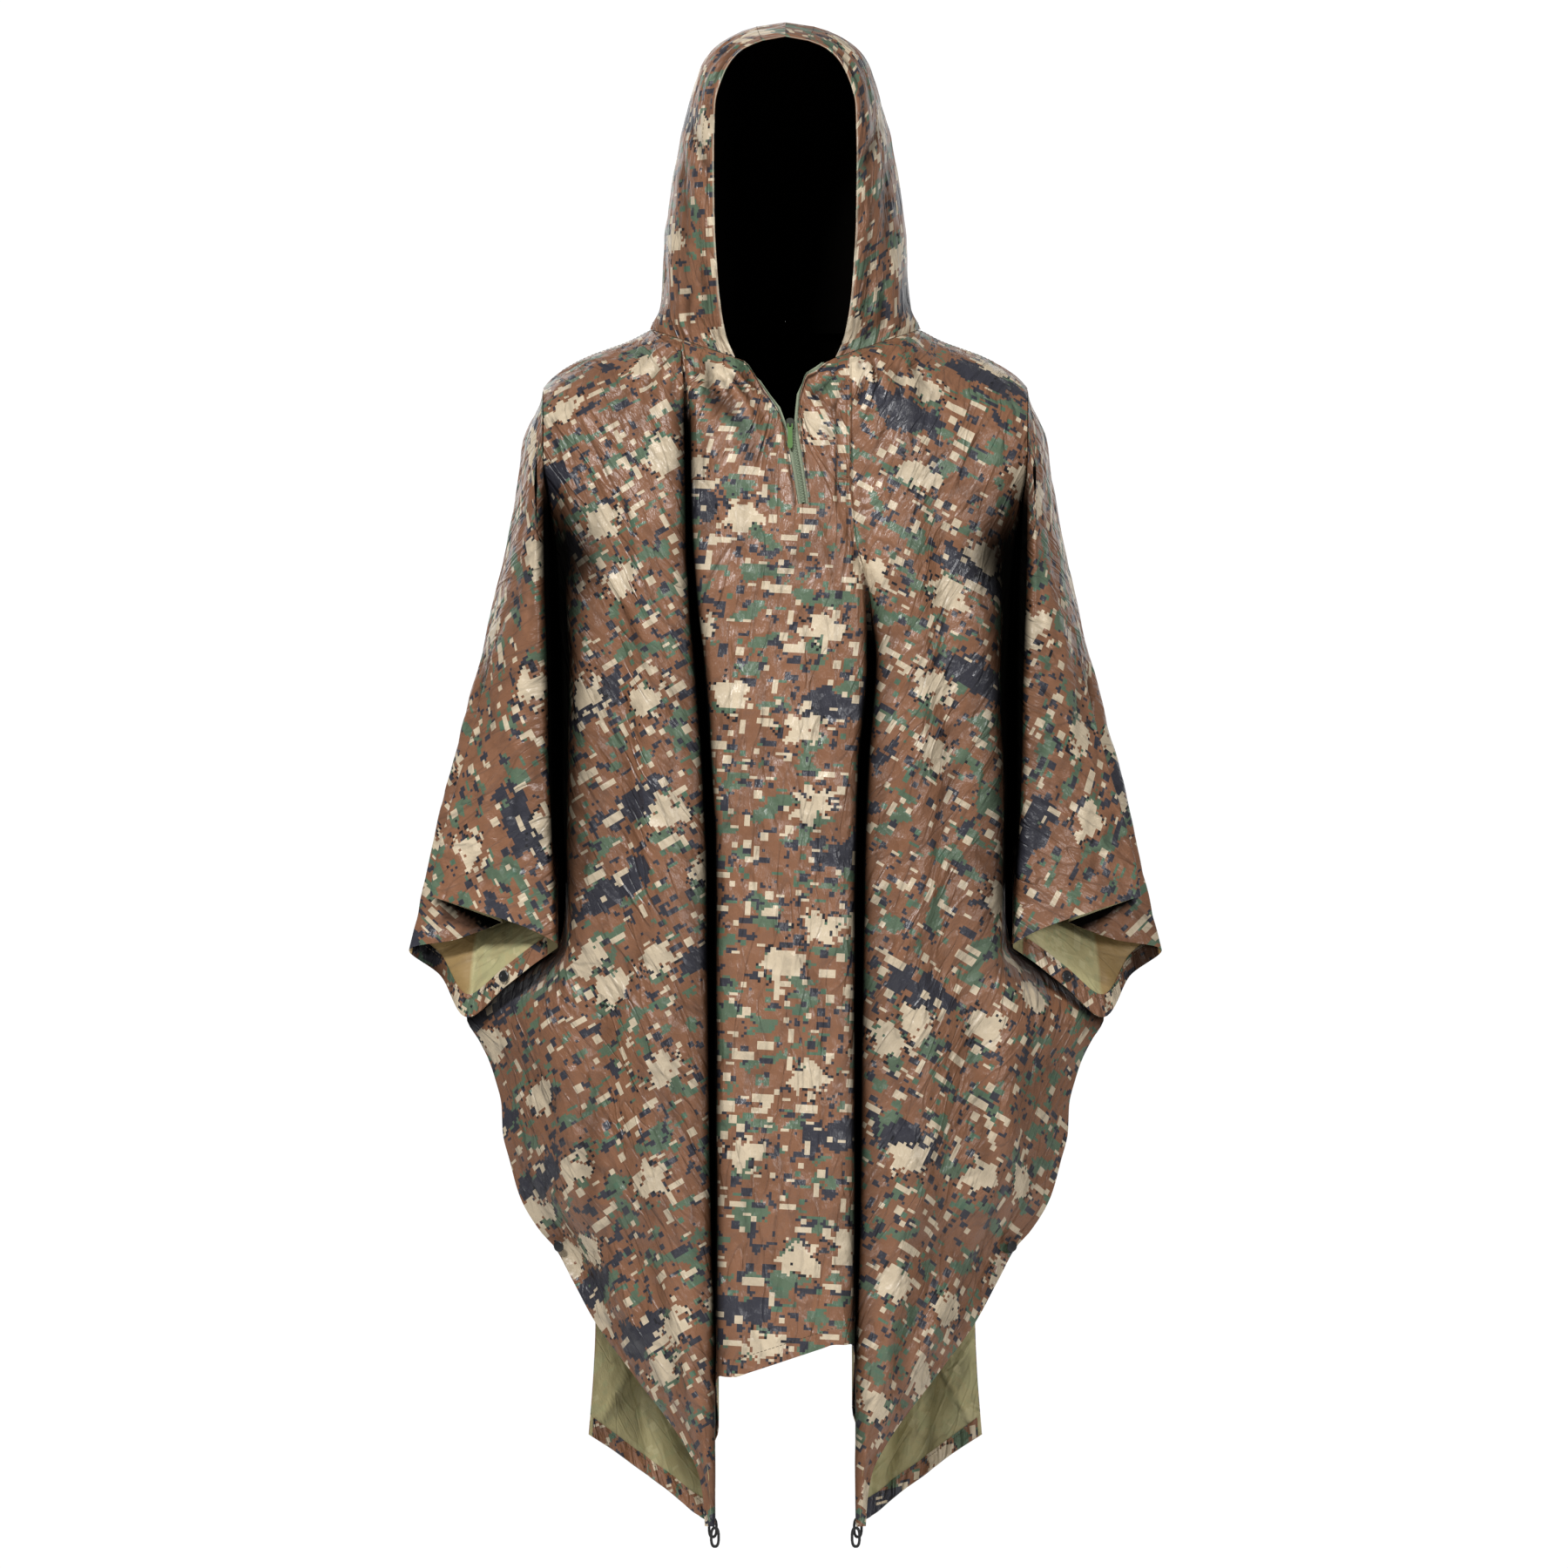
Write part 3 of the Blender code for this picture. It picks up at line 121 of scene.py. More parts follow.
def neck_oval(x):
    """1 at the middle of the neck, falling to 0 at its sides on an ellipse."""
    return np.sqrt(np.clip(1 - (x / NECK_HALF_WIDTH) ** 2, 0, 1))


def neck_z(x, front):
    """Height of the neck seam: it falls to the front and rises a little to the nape."""
    inside = np.clip(NECK_HALF_WIDTH - np.abs(x), 0, None)
    return np.where(front, NECK_SIDE_Z - NECK_FRONT_SLOPE * inside,
                    NECK_SIDE_Z + NECK_BACK_RISE * neck_oval(x))


def top_edge(x, front):
    """y and z of a panel's top edge at x: the shoulder line, the neck oval and the front slit."""
    sign, reach = (-1, NECK_FRONT) if front else (1, NECK_BACK)
    y = sign * np.maximum(reach * neck_oval(x), SEAM_HALF)
    shoulder_z = read(SHOULDER, "z", np.abs(x))
    z = np.where(np.abs(x) > NECK_HALF_WIDTH, shoulder_z, neck_z(x, front))
    if front:
        in_slit = (x > SLIT["x"][0]) & (x < SLIT["x"][-1])
        y = np.where(in_slit, np.interp(x, SLIT["x"], SLIT["y"]), y)
        z = np.where(in_slit, np.interp(x, SLIT["x"], SLIT["z"]), z)
    return y, z


# Side edge of the panels on the wearer's side at -X, from the shoulder down; y is for the front.
# Above the cuff it lies at the bottom of the deep fold between body and arm, then it runs out
# along the wing behind the cuff, down the closed side, and below the side snap on alone.
FRONT_EDGE = table("z x y", [
    (-39, 236.5, 0), (-110, 235.4, 79), (-150, 229.6, 66), (-195, 224.6, 52), (-260, 221.6, 45),
    (-325, 219.6, 45), (-440, 219.2, 44), (-480, 216, 24), (-515, 214.5, 2), (-545, 215, -5),
    (-575, 219, -5), (-600, 247, -4), (-625, 282, -1), (-653, 312, 0.55), (-677, 299, 0.55),
    (-694, 290.5, 0.55), (-713, 284, 0.55), (-740, 277.5, 0.55), (-765, 276.5, 0.55),
    (-794, 269.5, 0.55), (-828, 260, 0.55), (-864, 239, 0.55), (-877, 227, 0.55), (-909, 209, 9),
    (-952, 185, 24), (-999, 150, 48), (-1069, 98, 82), (-1097, 84, 94), (-1128, 79, 103),
    (-1147, 78, 106),
])
BACK_EDGE = table("z x y", [
    (-39, 236.5, 0), (-110, 235.4, 79), (-150, 228, 66), (-195, 221.4, 52), (-260, 218.6, 45),
    (-325, 216.6, 45), (-440, 216.2, 45), (-480, 216, 34), (-515, 224, 22), (-545, 238, 13),
    (-575, 254, 9), (-600, 268, 7), (-625, 288, 4), (-653, 312, 0.55), (-677, 299, 0.55),
    (-694, 290.5, 0.55), (-713, 284, 0.55), (-740, 277.5, 0.55), (-765, 276.5, 0.55),
    (-794, 269.5, 0.55), (-828, 260, 0.55), (-864, 239, 0.55), (-877, 227, 0.55),
    (-915, 202.5, 9), (-950, 186, 24), (-1000, 188, 40), (-1064, 193, 48),
])

# Sections of a side: the inner wall and the lip of the deep fold, the middle of the chest, and how
# far two soft ridges and the trough between them stand out of the side.
FRONT_SIDE = table("z wall_x wall_y lip_x lip_y pleat_y centre_y ridge_a trough ridge_b", [
    (-110, 232, 82, 226, 86, 118, 124, 0, 0, 0),
    (-150, 221, 84, 214, 93, 124, 130, 2, -3, 3),
    (-195, 215, 80, 209, 98, 128, 135, 5, -7, 5),
    (-260, 212.5, 76, 207, 102, 130, 138, 6, -8, 5),
    (-325, 210.5, 76, 205, 104, 131, 139, 5, -7, 6),
    (-455, 214, 76, 208, 105, 132, 140, 2, -5, 7),
    (-540, 212.5, 66, 207, 104, 132, 140, 0, -5, 6),
    (-583, 213.5, 52, 206, 98, 131, 139, 0, -5, 5),
    (-610, 236, 36, 212, 82, 130, 138, 0, -6, 5),
    (-653, 282, 27, 246, 64, 129, 137, 4, -8, 5),
    (-700, 268, 32, 240, 64, 128, 136, 8, -9, 6),
    (-765, 256, 30, 232, 62, 126, 135, 10, -8, 7),
    (-828, 238, 22, 218, 54, 124, 134, 9, -7, 7),
    (-877, 212, 4, 196, 34, 121, 133, 7, -7, 6),
    (-952, 174, 40, 160, 60, 118, 132, 3, -5, 5),
    (-1040, 114, 76, 105, 86, 114, 131, 1, -2, 2),
    (-1069, 94.5, 86, 89, 95, 113, 130.5, 0, -1, 1),
    (-1100, 81.5, 98, 79.3, 103.5, 112.5, 130, 0, 0, 0),
    (-1147, 77, 108.5, 75.6, 110.3, 112, 130, 0, 0, 0),
])
BACK_SIDE = table("z wall_x wall_y lip_x lip_y pleat_y centre_y ridge_a trough ridge_b", [
    (-110, 232, 82, 226, 87, 116, 120, 0, 0, 0),
    (-150, 218, 84, 211, 93, 122, 127, 2, -3, 3),
    (-195, 212, 80, 206, 98, 126, 131, 4, -6, 5),
    (-260, 210.5, 76, 204, 102, 128, 133, 6, -7, 5),
    (-325, 209.5, 76, 203, 104, 129, 134, 6, -6, 4),
    (-455, 211, 76, 205, 105, 130, 135, 3, -5, 6),
    (-500, 216, 74, 209, 104, 130, 135, 0, -5, 7),
    (-545, 232, 62, 214, 98, 130, 135, 0, -5, 7),
    (-583, 242, 50, 218, 90, 129, 134, 0, -5, 6),
    (-610, 256, 40, 226, 80, 128, 133, 0, -6, 5),
    (-653, 282, 30, 246, 64, 127, 132, 3, -8, 5),
    (-700, 268, 32, 240, 64, 126, 131, 6, -9, 6),
    (-765, 256, 30, 232, 62, 125, 130, 9, -9, 7),
    (-828, 238, 22, 218, 54, 124, 129, 10, -8, 7),
    (-877, 212, 4, 196, 34, 122, 128, 8, -7, 6),
    (-952, 172, 42, 158, 66, 120, 127, 4, -5, 5),
    (-1061, 170, 62, 150, 80, 116, 126, 3, -3, 3),
    (-1147, 150, 76, 134, 90, 112, 126, 0, 0, 0),
])

# The deep pleats beside the centre panel: middle, half the gap between the lips, and depth.
FRONT_PLEAT_LEFT = table("z x gap depth", [
    (-31, 101, 3, 0), (-85, 95, 3, 14), (-130, 94.5, 3, 24), (-170, 94, 3.4, 32),
    (-255, 89, 4.6, 44), (-306, 83.7, 5.2, 48), (-382, 77.8, 5.4, 54), (-510, 71.8, 5.2, 60),
    (-680, 71, 4.2, 63), (-850, 69.3, 3, 64), (-986, 67.4, 1.9, 62), (-1147, 67.3, 1.9, 58),
])
FRONT_PLEAT_RIGHT = table("z x gap depth", [
    (-31, 62, 3, 0), (-80, 61, 3, 1), (-130, 62, 3, 4), (-180, 66, 3, 9), (-246, 80, 3.6, 24),
    (-306, 83.7, 5, 38), (-408, 76, 5.4, 50), (-510, 72.7, 5.2, 58), (-680, 71, 4.2, 63),
    (-850, 70, 3, 64), (-969, 67.4, 1.9, 62), (-1147, 67.3, 1.9, 58),
])
BACK_PLEAT = table("z x gap depth", [
    (-60, 88, 3, 0), (-130, 86, 3, 9), (-220, 84, 3.6, 22), (-400, 80, 5, 40), (-700, 79, 5, 50),
    (-950, 77, 4, 52), (-1147, 73.5, 3, 50),
])

# Knots of the centre of the front: place at the top edge, at the end of the zip, and at the hem.
FRONT_CENTRE = table("knot top_x zip_x hem_x", [
    (0, -58, -62, -48), (1, -45, -44, -36), (2, -26, -22, -24), (3, -8, -2, -12),
    (4, 0.4, 12.2, -3), (5, 11.6, 22.8, 5), (6, 14.8, 28, 15), (7, 24, 35, 25), (8, 38, 41.5, 36),
    (9, 49, 47.5, 46),
])
BACK_CENTRE = table("knot top_x zip_x hem_x", [
    (0, -50, -50, -46), (1, -17, -17, -15), (2, 17, 17, 15), (3, 50, 50, 46),
])

SIDE_SHARE = np.array([0.14, 0.40, 0.66, 0.88])      # knots between the lip and the pleat
PLEAT_LIP, PLEAT_BULB = 7.0, 4.5           # round of a pleat's lip, half the width at its bottom
BULB_ASIDE = 3.4                           # near the hem the bottom turns to the side
CENTRE_BEHIND = 2                          # the centre lies this much behind the sides


def side_knots(z, edge, side, pleat):
    """Knots of one side at the heights z, from the edge to the pleat: rows x 13 x (x, y).

    x is positive here and y is counted outward from the middle of the body.
    """
    col = {name: read(side, name, z) for name in side if name != "z"}
    middle, gap, depth = (read(pleat, name, z) for name in ("x", "gap", "depth"))
    lip_x, pleat_y, centre_y = col["lip_x"], col["pleat_y"], col["centre_y"]
    edge_x = read(edge, "x", z)
    lip_in = middle + gap + np.minimum(PLEAT_LIP, 0.4 * (edge_x - middle - gap))
    knots = [(edge_x, read(edge, "y", z)), (col["wall_x"], col["wall_y"]), (lip_x, col["lip_y"])]
    room = smoothstep(2, 60, lip_x - lip_in)
    for share, lift in zip(SIDE_SHARE, ("ridge_a", "trough", "ridge_b", None)):
        y = mix(col["lip_y"], pleat_y, np.sin(share * math.pi / 2) ** 0.9)
        knots.append((mix(lip_x, lip_in, share), y + (col[lift] * room if lift else 0)))
    lip_round = (np.minimum(PLEAT_LIP, depth * 0.35)
                 * np.clip((edge_x - middle - gap) / 30, 0.15, 1))
    bulb = mix(1.0, PLEAT_BULB, smoothstep(4, 24, depth))
    bottom = middle + BULB_ASIDE * smoothstep(850, 1000, -z)
    sunk = np.maximum(depth - 4, 0)
    knots += [(lip_in, pleat_y),
              (middle + gap, pleat_y - lip_round),
              (bottom + bulb, mix(pleat_y, centre_y, 0.4) - sunk),
              (bottom - bulb, mix(pleat_y, centre_y, 0.6) - sunk),
              (middle - gap, centre_y - CENTRE_BEHIND - lip_round),
              (middle - gap - PLEAT_LIP, centre_y - CENTRE_BEHIND)]
    return np.stack([np.stack(k, axis=-1) for k in knots], axis=1)


CHEST_Z = np.array([-110, -112, -114, -118, -122, -126, -128, -130, -130, -130, -130, -130, -130.0])
TIP_Z = -1147.0
FRONT_HEM_Z, BACK_HEM_Z = (-1001.0, -970.0), (-957.0, -957.0)     # at the left and right pleat
BACK_HEM_SIDE = table("x z", [
    (60, -1151), (79, -1149), (128, -1114), (193, -1064), (240, -1061),
])
PLEAT_HEM_SHARE = np.array([0, 0, 0.45, 0.6, 1, 1])  # from the corner tip up to the centre hem
SHOULDER_X = [236.5, 232.5, 226.0]         # the first knots at the top edge
PLEAT_TOP_X = np.array([10.0, 3.0, 1.0, -1.0, -3.0, -10.0])       # from the pleat's middle there
SLIT_MIDDLE, SLIT_STRAIGHT = 6.0, 0.9      # beside the zip the chest runs straight, not rounded


def panel(front, s, top, down):
    """Middle surface of the front or back: s counts the knots across, top and down are shares.

    The top part runs from the top edge over shoulder and chest on a quarter ellipse. Below it the
    section tables are read at each knot's own heights, from the chest to the hem.
    """
    if front:
        edge, side, centre, centre_top = FRONT_EDGE, FRONT_SIDE, FRONT_CENTRE, ZIP_END_Z
        pleats, hems = (FRONT_PLEAT_LEFT, FRONT_PLEAT_RIGHT), FRONT_HEM_Z
    else:
        edge, side, centre, centre_top = BACK_EDGE, BACK_SIDE, BACK_CENTRE, BACK_CHEST_Z
        pleats, hems = (BACK_PLEAT, BACK_PLEAT), BACK_HEM_Z
    share = down[:, None]
    nets = []
    for pleat, hem_z in zip(pleats, hems):
        pleat_hem = mix(TIP_Z, hem_z, PLEAT_HEM_SHARE)
        if front:
            end = np.concatenate([np.full(7, TIP_Z), pleat_hem])
        else:
            at = side_knots(np.array([-1100.0]), edge, side, pleat)[0, :, 0]
            end = read(BACK_HEM_SIDE, "z", at)
            end[0], end[9:] = BACK_EDGE["z"][-1], pleat_hem[2:]
        z = mix(CHEST_Z[None], end[None], share)
        net = [side_knots(z[:, k], edge, side, pleat)[:, k] for k in range(len(CHEST_Z))]
        nets.append(np.concatenate([np.stack(net, axis=1), z[..., None]], axis=2))
    left, right = nets
    left[..., 0] *= -1
    hem_x = centre["hem_x"]
    place = (hem_x - hem_x[0]) / (hem_x[-1] - hem_x[0])
    z = mix(centre_top, mix(*hems, place)[None], share)
    x = mix(centre["zip_x"][None], hem_x[None], smoothstep(-centre_top, 420, -z))
    y = read(side, "centre_y", z) + 3 * np.cos(np.clip(x / 60, -1, 1) * math.pi / 2)
    net = np.concatenate([left, np.stack([x, y, z], axis=-1), right[:, ::-1]], axis=1)
    net[..., 1] *= -1 if front else 1
    below = across(net, s)
    tops = []
    for pleat in pleats:
        inner = read(pleat, "x", -31.0) + PLEAT_TOP_X
        tops.append(np.concatenate([SHOULDER_X, mix(SHOULDER_X[-1], inner[0], SIDE_SHARE), inner]))
    top_x = np.concatenate([-tops[0], centre["top_x"], tops[1][::-1]])
    x = across(np.stack([top_x, 0 * top_x, 0 * top_x], axis=-1)[None], s)[0, :, 0]
    start = np.stack([x, *top_edge(x, front)], axis=-1)[None]
    turn, even = top[:, None] * math.pi / 2, top[:, None]
    beside = SLIT_STRAIGHT * (1 - smoothstep(10, 60, np.abs(x - SLIT_MIDDLE)))
    straight = beside if front else 0 * x
    ways = [mix(way, even, straight) for way in (np.sin(turn) ** 2, np.sin(turn), 1 - np.cos(turn))]
    above = [mix(start[..., i], below[:1, :, i], way) for i, way in enumerate(ways)]
    return np.concatenate([np.stack(above, axis=-1)[:-1], below])


def places(counts):
    """Places along the knots: each interval between two knots in the given number of steps."""
    parts = [np.linspace(k, k + 1, n + 1)[:-1] for k, n in enumerate(counts)]
    return np.concatenate(parts + [[float(len(counts))]])


def unit(vectors):
    """The same directions at length 1."""
    return vectors / np.maximum(np.linalg.norm(vectors, axis=-1, keepdims=True), 1e-9)


def normals(grid):
    """Unit normals of a grid: the steps along it crossed with the steps down it."""
    def direction(axis):
        step = unit(np.diff(grid, axis=axis))
        first, last = np.take(step, [0], axis=axis), np.take(step, [-1], axis=axis)
        return np.concatenate([first, step], axis=axis) + np.concatenate([step, last], axis=axis)

    return unit(np.cross(direction(1), direction(0)))


def creases(x, z, lines):
    """Height of listed creases at points x, z.

    Each crease is a row: how far it rises, its width, and then x and z of each of its points.
    Across a crease the height is a bell with a shallow dip on each side, and along it the height
    swells from nothing and dies away again.
    """
    height = np.zeros_like(x)
    for rise, width, *flat in lines:
        line = np.array(flat, dtype=float).reshape(-1, 2)
        step = np.diff(line, axis=0)
        length = np.hypot(*step.T)
        before = np.concatenate([[0.0], np.cumsum(length)])
        nearest, place = np.full(x.shape, 1e9), np.zeros_like(x)
        for (px, pz), (dx, dz), size, run in zip(line, step, length, before):
            t = np.clip(((x - px) * dx + (z - pz) * dz) / size ** 2, 0, 1)
            distance = np.hypot(x - px - t * dx, z - pz - t * dz)
            closer = distance < nearest
            nearest = np.where(closer, distance, nearest)
            place = np.where(closer, (run + t * size) / before[-1], place)
        bell = 1.4 * np.exp(-(nearest / width) ** 2) - 0.4 * np.exp(-(nearest / (2.3 * width)) ** 2)
        height += rise * bell * np.sin(math.pi * np.clip(place, 0, 1)) ** 0.7
    return height


def crumple(u, v, size, seed):
    """Random height from 0 to 1: values on a square lattice of a size, joined by S curves."""
    lattice = np.random.default_rng(seed).random((128, 128))
    fu, fv = u / size, v / size
    i, j = np.floor(fu).astype(int), np.floor(fv).astype(int)
    a, b = smoothstep(0, 1, fu - i), smoothstep(0, 1, fv - j)
    here, beyond = (mix(lattice[i % 128, row % 128], lattice[(i + 1) % 128, row % 128], a)
                    for row in (j, j + 1))
    return mix(here, beyond, b)


def rumpled(u, v, seed):
    """Small folds all over in mm: ridged noise in two sizes, longer down the cloth than across."""
    wide = np.abs(2 * crumple(u + 0.25 * v, v * 0.45, 38, seed) - 1)
    fine = np.abs(2 * crumple(u - 0.35 * v, v * 0.6, 17, seed + 1) - 1)
    return 3.0 * (wide - 0.5) + 1.3 * (fine - 0.5)


def run_lengths(grid, column, level, hangs=True):
    """u and v of a grid in mm: along each row from a column, and down from a row's height.

    Where the cloth hangs, below that row, u counts level steps only and v is the height itself.
    """
    step = np.diff(grid, axis=1)
    downward = np.linalg.norm(np.diff(grid, axis=0), axis=2)
    if hangs:
        step[level:, :, 2] = 0
        downward[level:] = -np.diff(grid[level:, :, 2], axis=0)
    u = np.pad(np.cumsum(np.linalg.norm(step, axis=2), axis=1), ((0, 0), (1, 0)))
    v = np.pad(np.cumsum(downward, axis=0), ((1, 0), (0, 0)))
    return u - u[:, [column]], v - v[[level]] - grid[[level], :, 2]


def add(name, data):
    """A mesh, lamp or camera put into the scene."""
    made = bpy.data.objects.new(name, data)
    bpy.context.scene.collection.objects.link(made)
    return made


def shell(name, middle, thickness, stretches, finishes, shade=0.0, keep=None, normal=None,
          gloom=None, ochre_shade=0.0, level=0, hangs=False):
    """A closed sheet of cloth about a grid of points in mm.

    Each stretch is (first column, last column, reference column, turn, offset): the print's u and
    v are run lengths from the reference column, turned by the angle. The outer face takes the first
    finish and the inner face the last; every free edge is closed by a rim. `shade` is painted shade
    on the outer face from 0 to 1, below 0 a pale painted highlight, and `gloom` painted shade on
    the inner one where it isn't the same; the ochre tint is painted shade on it too. Below row
    `level` the map goes straight down if the cloth hangs.
    """
    rows, columns = middle.shape[:2]
    back = rows * columns
    normal = normals(middle) if normal is None else normal
    keep = np.ones((rows - 1, columns - 1), bool) if keep is None else keep
    aside = normal * thickness / 2
    points = np.concatenate([middle + aside, middle - aside]).reshape(-1, 3)
    number = np.arange(back).reshape(rows, columns)
    a, b, d, e = number[:-1, :-1], number[:-1, 1:], number[1:, :-1], number[1:, 1:]
    padded = np.pad(keep, 1)
    faces = [np.stack([a, b, e, d], axis=-1)[keep], np.stack([a, d, e, b], axis=-1)[keep] + back]
    face_column = [np.broadcast_to(np.arange(columns - 1), keep.shape)[keep]] * 2
    for p, q, beyond in ((a, b, padded[:-2, 1:-1]), (b, e, padded[1:-1, 2:]),
                         (e, d, padded[2:, 1:-1]), (d, a, padded[1:-1, :-2])):
        free = keep & ~beyond
        faces.append(np.stack([q[free], p[free], p[free] + back, q[free] + back], axis=-1))
        face_column.append(p[free] % columns)
    which = np.zeros(sum(map(len, faces)), int)
    which[len(faces[0]):len(faces[0]) + len(faces[1])] = len(finishes) - 1
    faces = np.concatenate(faces)
    face_column = np.minimum(np.concatenate(face_column), columns - 2)
    print_at = np.zeros((*faces.shape, 2))
    for first, last, reference, turn, offset in stretches:
        here = (face_column >= first) & (face_column < last)
        u, v = (run.ravel()[faces[here] % back]
                for run in run_lengths(middle, reference, level, hangs))
        sin, cos = math.sin(math.radians(turn)), math.cos(math.radians(turn))
        turned_uv = np.stack([u * cos - v * sin, u * sin + v * cos], axis=-1)
        print_at[here] = (turned_uv + offset) / 1000
    used, faces = np.unique(faces, return_inverse=True)
    mesh = bpy.data.meshes.new(name)
    mesh.vertices.add(len(used))
    mesh.vertices.foreach_set("co", (points[used] / 1000).ravel())
    mesh.loops.add(faces.size)
    mesh.loops.foreach_set("vertex_index", faces.ravel())
    mesh.polygons.add(len(which))
    mesh.polygons.foreach_set("loop_start", np.arange(len(which)) * 4)
    for finish in finishes:
        mesh.materials.append(finish)
    mesh.polygons.foreach_set("material_index", which)
    mesh.update(calc_edges=True)
    mesh.uv_layers.new(name="print").uv.foreach_set("vector", print_at.ravel())
    for attribute, outer, inner in (("shade", shade, shade if gloom is None else gloom),
                                    ("ochre_shade", ochre_shade, ochre_shade)):
        values = [np.broadcast_to(value, (rows, columns)).ravel() for value in (outer, inner)]
        layer = mesh.attributes.new(attribute, "FLOAT", "POINT")
        layer.data.foreach_set("value", np.concatenate(values)[used])
    mesh.shade_smooth()
    mesh.set_sharp_from_angle(angle=math.radians(60))
    return add(name, mesh)


def connect(tree, target, inputs):
    """Set a node's inputs; one that is given another node's output is linked to it."""
    for key, value in inputs.items():
        if isinstance(value, bpy.types.NodeSocket):
            tree.links.new(value, target.inputs[key])
        else:
            target.inputs[key].default_value = value


def node(tree, kind, inputs, **settings):
    """A shader node with its settings and inputs."""
    made = tree.nodes.new("ShaderNode" + kind)
    for name, value in settings.items():
        setattr(made, name, value)
    connect(tree, made, inputs)
    return made


def calc(tree, operation, a, b=0.0):
    return node(tree, "Math", {0: a, 1: b}, operation=operation).outputs[0]


def times(tree, a, b):
    return calc(tree, "MULTIPLY", a, b)


def plus(tree, a, b):
    return calc(tree, "ADD", a, b)


def minus(tree, a, b):
    return calc(tree, "SUBTRACT", a, b)


def over(tree, base, colour, mask):
    """The colour laid over the base where the mask is 1."""
    return node(tree, "Mix", {0: mask, 6: base, 7: colour}, data_type="RGBA").outputs[2]


def moved(tree, at, stretch=(1, 1), move=(0, 0), turn=0):
    """The map stretched, turned by degrees and shifted."""
    return node(tree, "Mapping", {"Vector": at, "Scale": (*stretch, 1), "Location": (*move, 0),
                                  "Rotation": (0, 0, math.radians(turn))}).outputs[0]


def noise(tree, at, scale, stretch=(1, 1), detail=1.0, move=(0, 0), turn=0, rough=0.6):
    return node(tree, "TexNoise", {"Vector": moved(tree, at, stretch, move, turn), "Scale": scale,
                                   "Detail": detail, "Roughness": rough},
                noise_dimensions="2D").outputs[0]


def new_material(name):
    """A material with its node tree and its shader."""
    made = bpy.data.materials.new(name)
    made.use_nodes = True
    return made, made.node_tree, made.node_tree.nodes["Principled BSDF"]


PRINT_CELL = 0.0027          # side of one square of the print, in metres
BROWN, BROWN_DEEP = (0.268, 0.124, 0.064, 1), (0.165, 0.070, 0.035, 1)
GREEN, CHARCOAL = (0.088, 0.160, 0.100, 1), (0.034, 0.034, 0.046, 1)
TAN, PITCH = (0.620, 0.510, 0.360, 1), (0.010, 0.010, 0.014, 1)
KHAKI, KHAKI_SHADE = (0.560, 0.510, 0.265, 1), (0.330, 0.300, 0.140, 1)
# Ochre and gloom are painted shade, inside the cuff and towards black; the pale colour is a painted
# highlight on edges.
OCHRE, PAINTED_HIGHLIGHT = (0.300, 0.190, 0.070, 1), (0.620, 0.560, 0.430, 1)
GLOOM = (0.002, 0.0018, 0.0015, 1)
# Bars and squares strewn over the print: width and height in cells, share of them, and shift.
GREEN_BARS = [(2, 2, 0.02, (0.4, 0.8)), (4, 1, 0.02, (0.2, 0.6))]
CHARCOAL_BARS = [(3, 3, 0.020, (0.6, 0.3)), (5, 2, 0.016, (0.9, 0.4)), (2, 2, 0.018, (0.15, 0.35))]
TAN_BARS = [(3, 3, 0.024, (0.3, 0.1)), (6, 2, 0.018, (0.7, 0.2)), (2, 2, 0.020, (0.5, 0.95)),
            (8, 3, 0.012, (0.5, 0.5)), (3, 1, 0.014, (0.85, 0.6)), (2, 5, 0.010, (0.35, 0.15))]


def dice(tree, at, width, height):
    """A random value from 0 to 1 for each cell of the given size in metres."""
    cell = node(tree, "VectorMath", {0: at, 1: (width, height, 1)}, operation="SNAP").outputs[0]
    return cell, node(tree, "TexWhiteNoise", {"Vector": cell}, noise_dimensions="2D").outputs[0]


def blobs(tree, cell, scale, radius, stretch, move, ragged):
    """1 inside one ragged blob in each square of 1 / scale metres, 0 outside.

    Each blob is what lies near the square's own random point; noise pushes its outline in and out.
    """
    near = node(tree, "TexVoronoi", {"Vector": moved(tree, cell, stretch, move), "Scale": scale,
                                     "Randomness": 0.85}, voronoi_dimensions="2D")
    uneven = minus(tree, noise(tree, cell, scale * 8, detail=2.0, move=move), 0.5)
    edge = plus(tree, near.outputs["Distance"], times(tree, uneven, ragged))
    return calc(tree, "LESS_THAN", edge, radius)


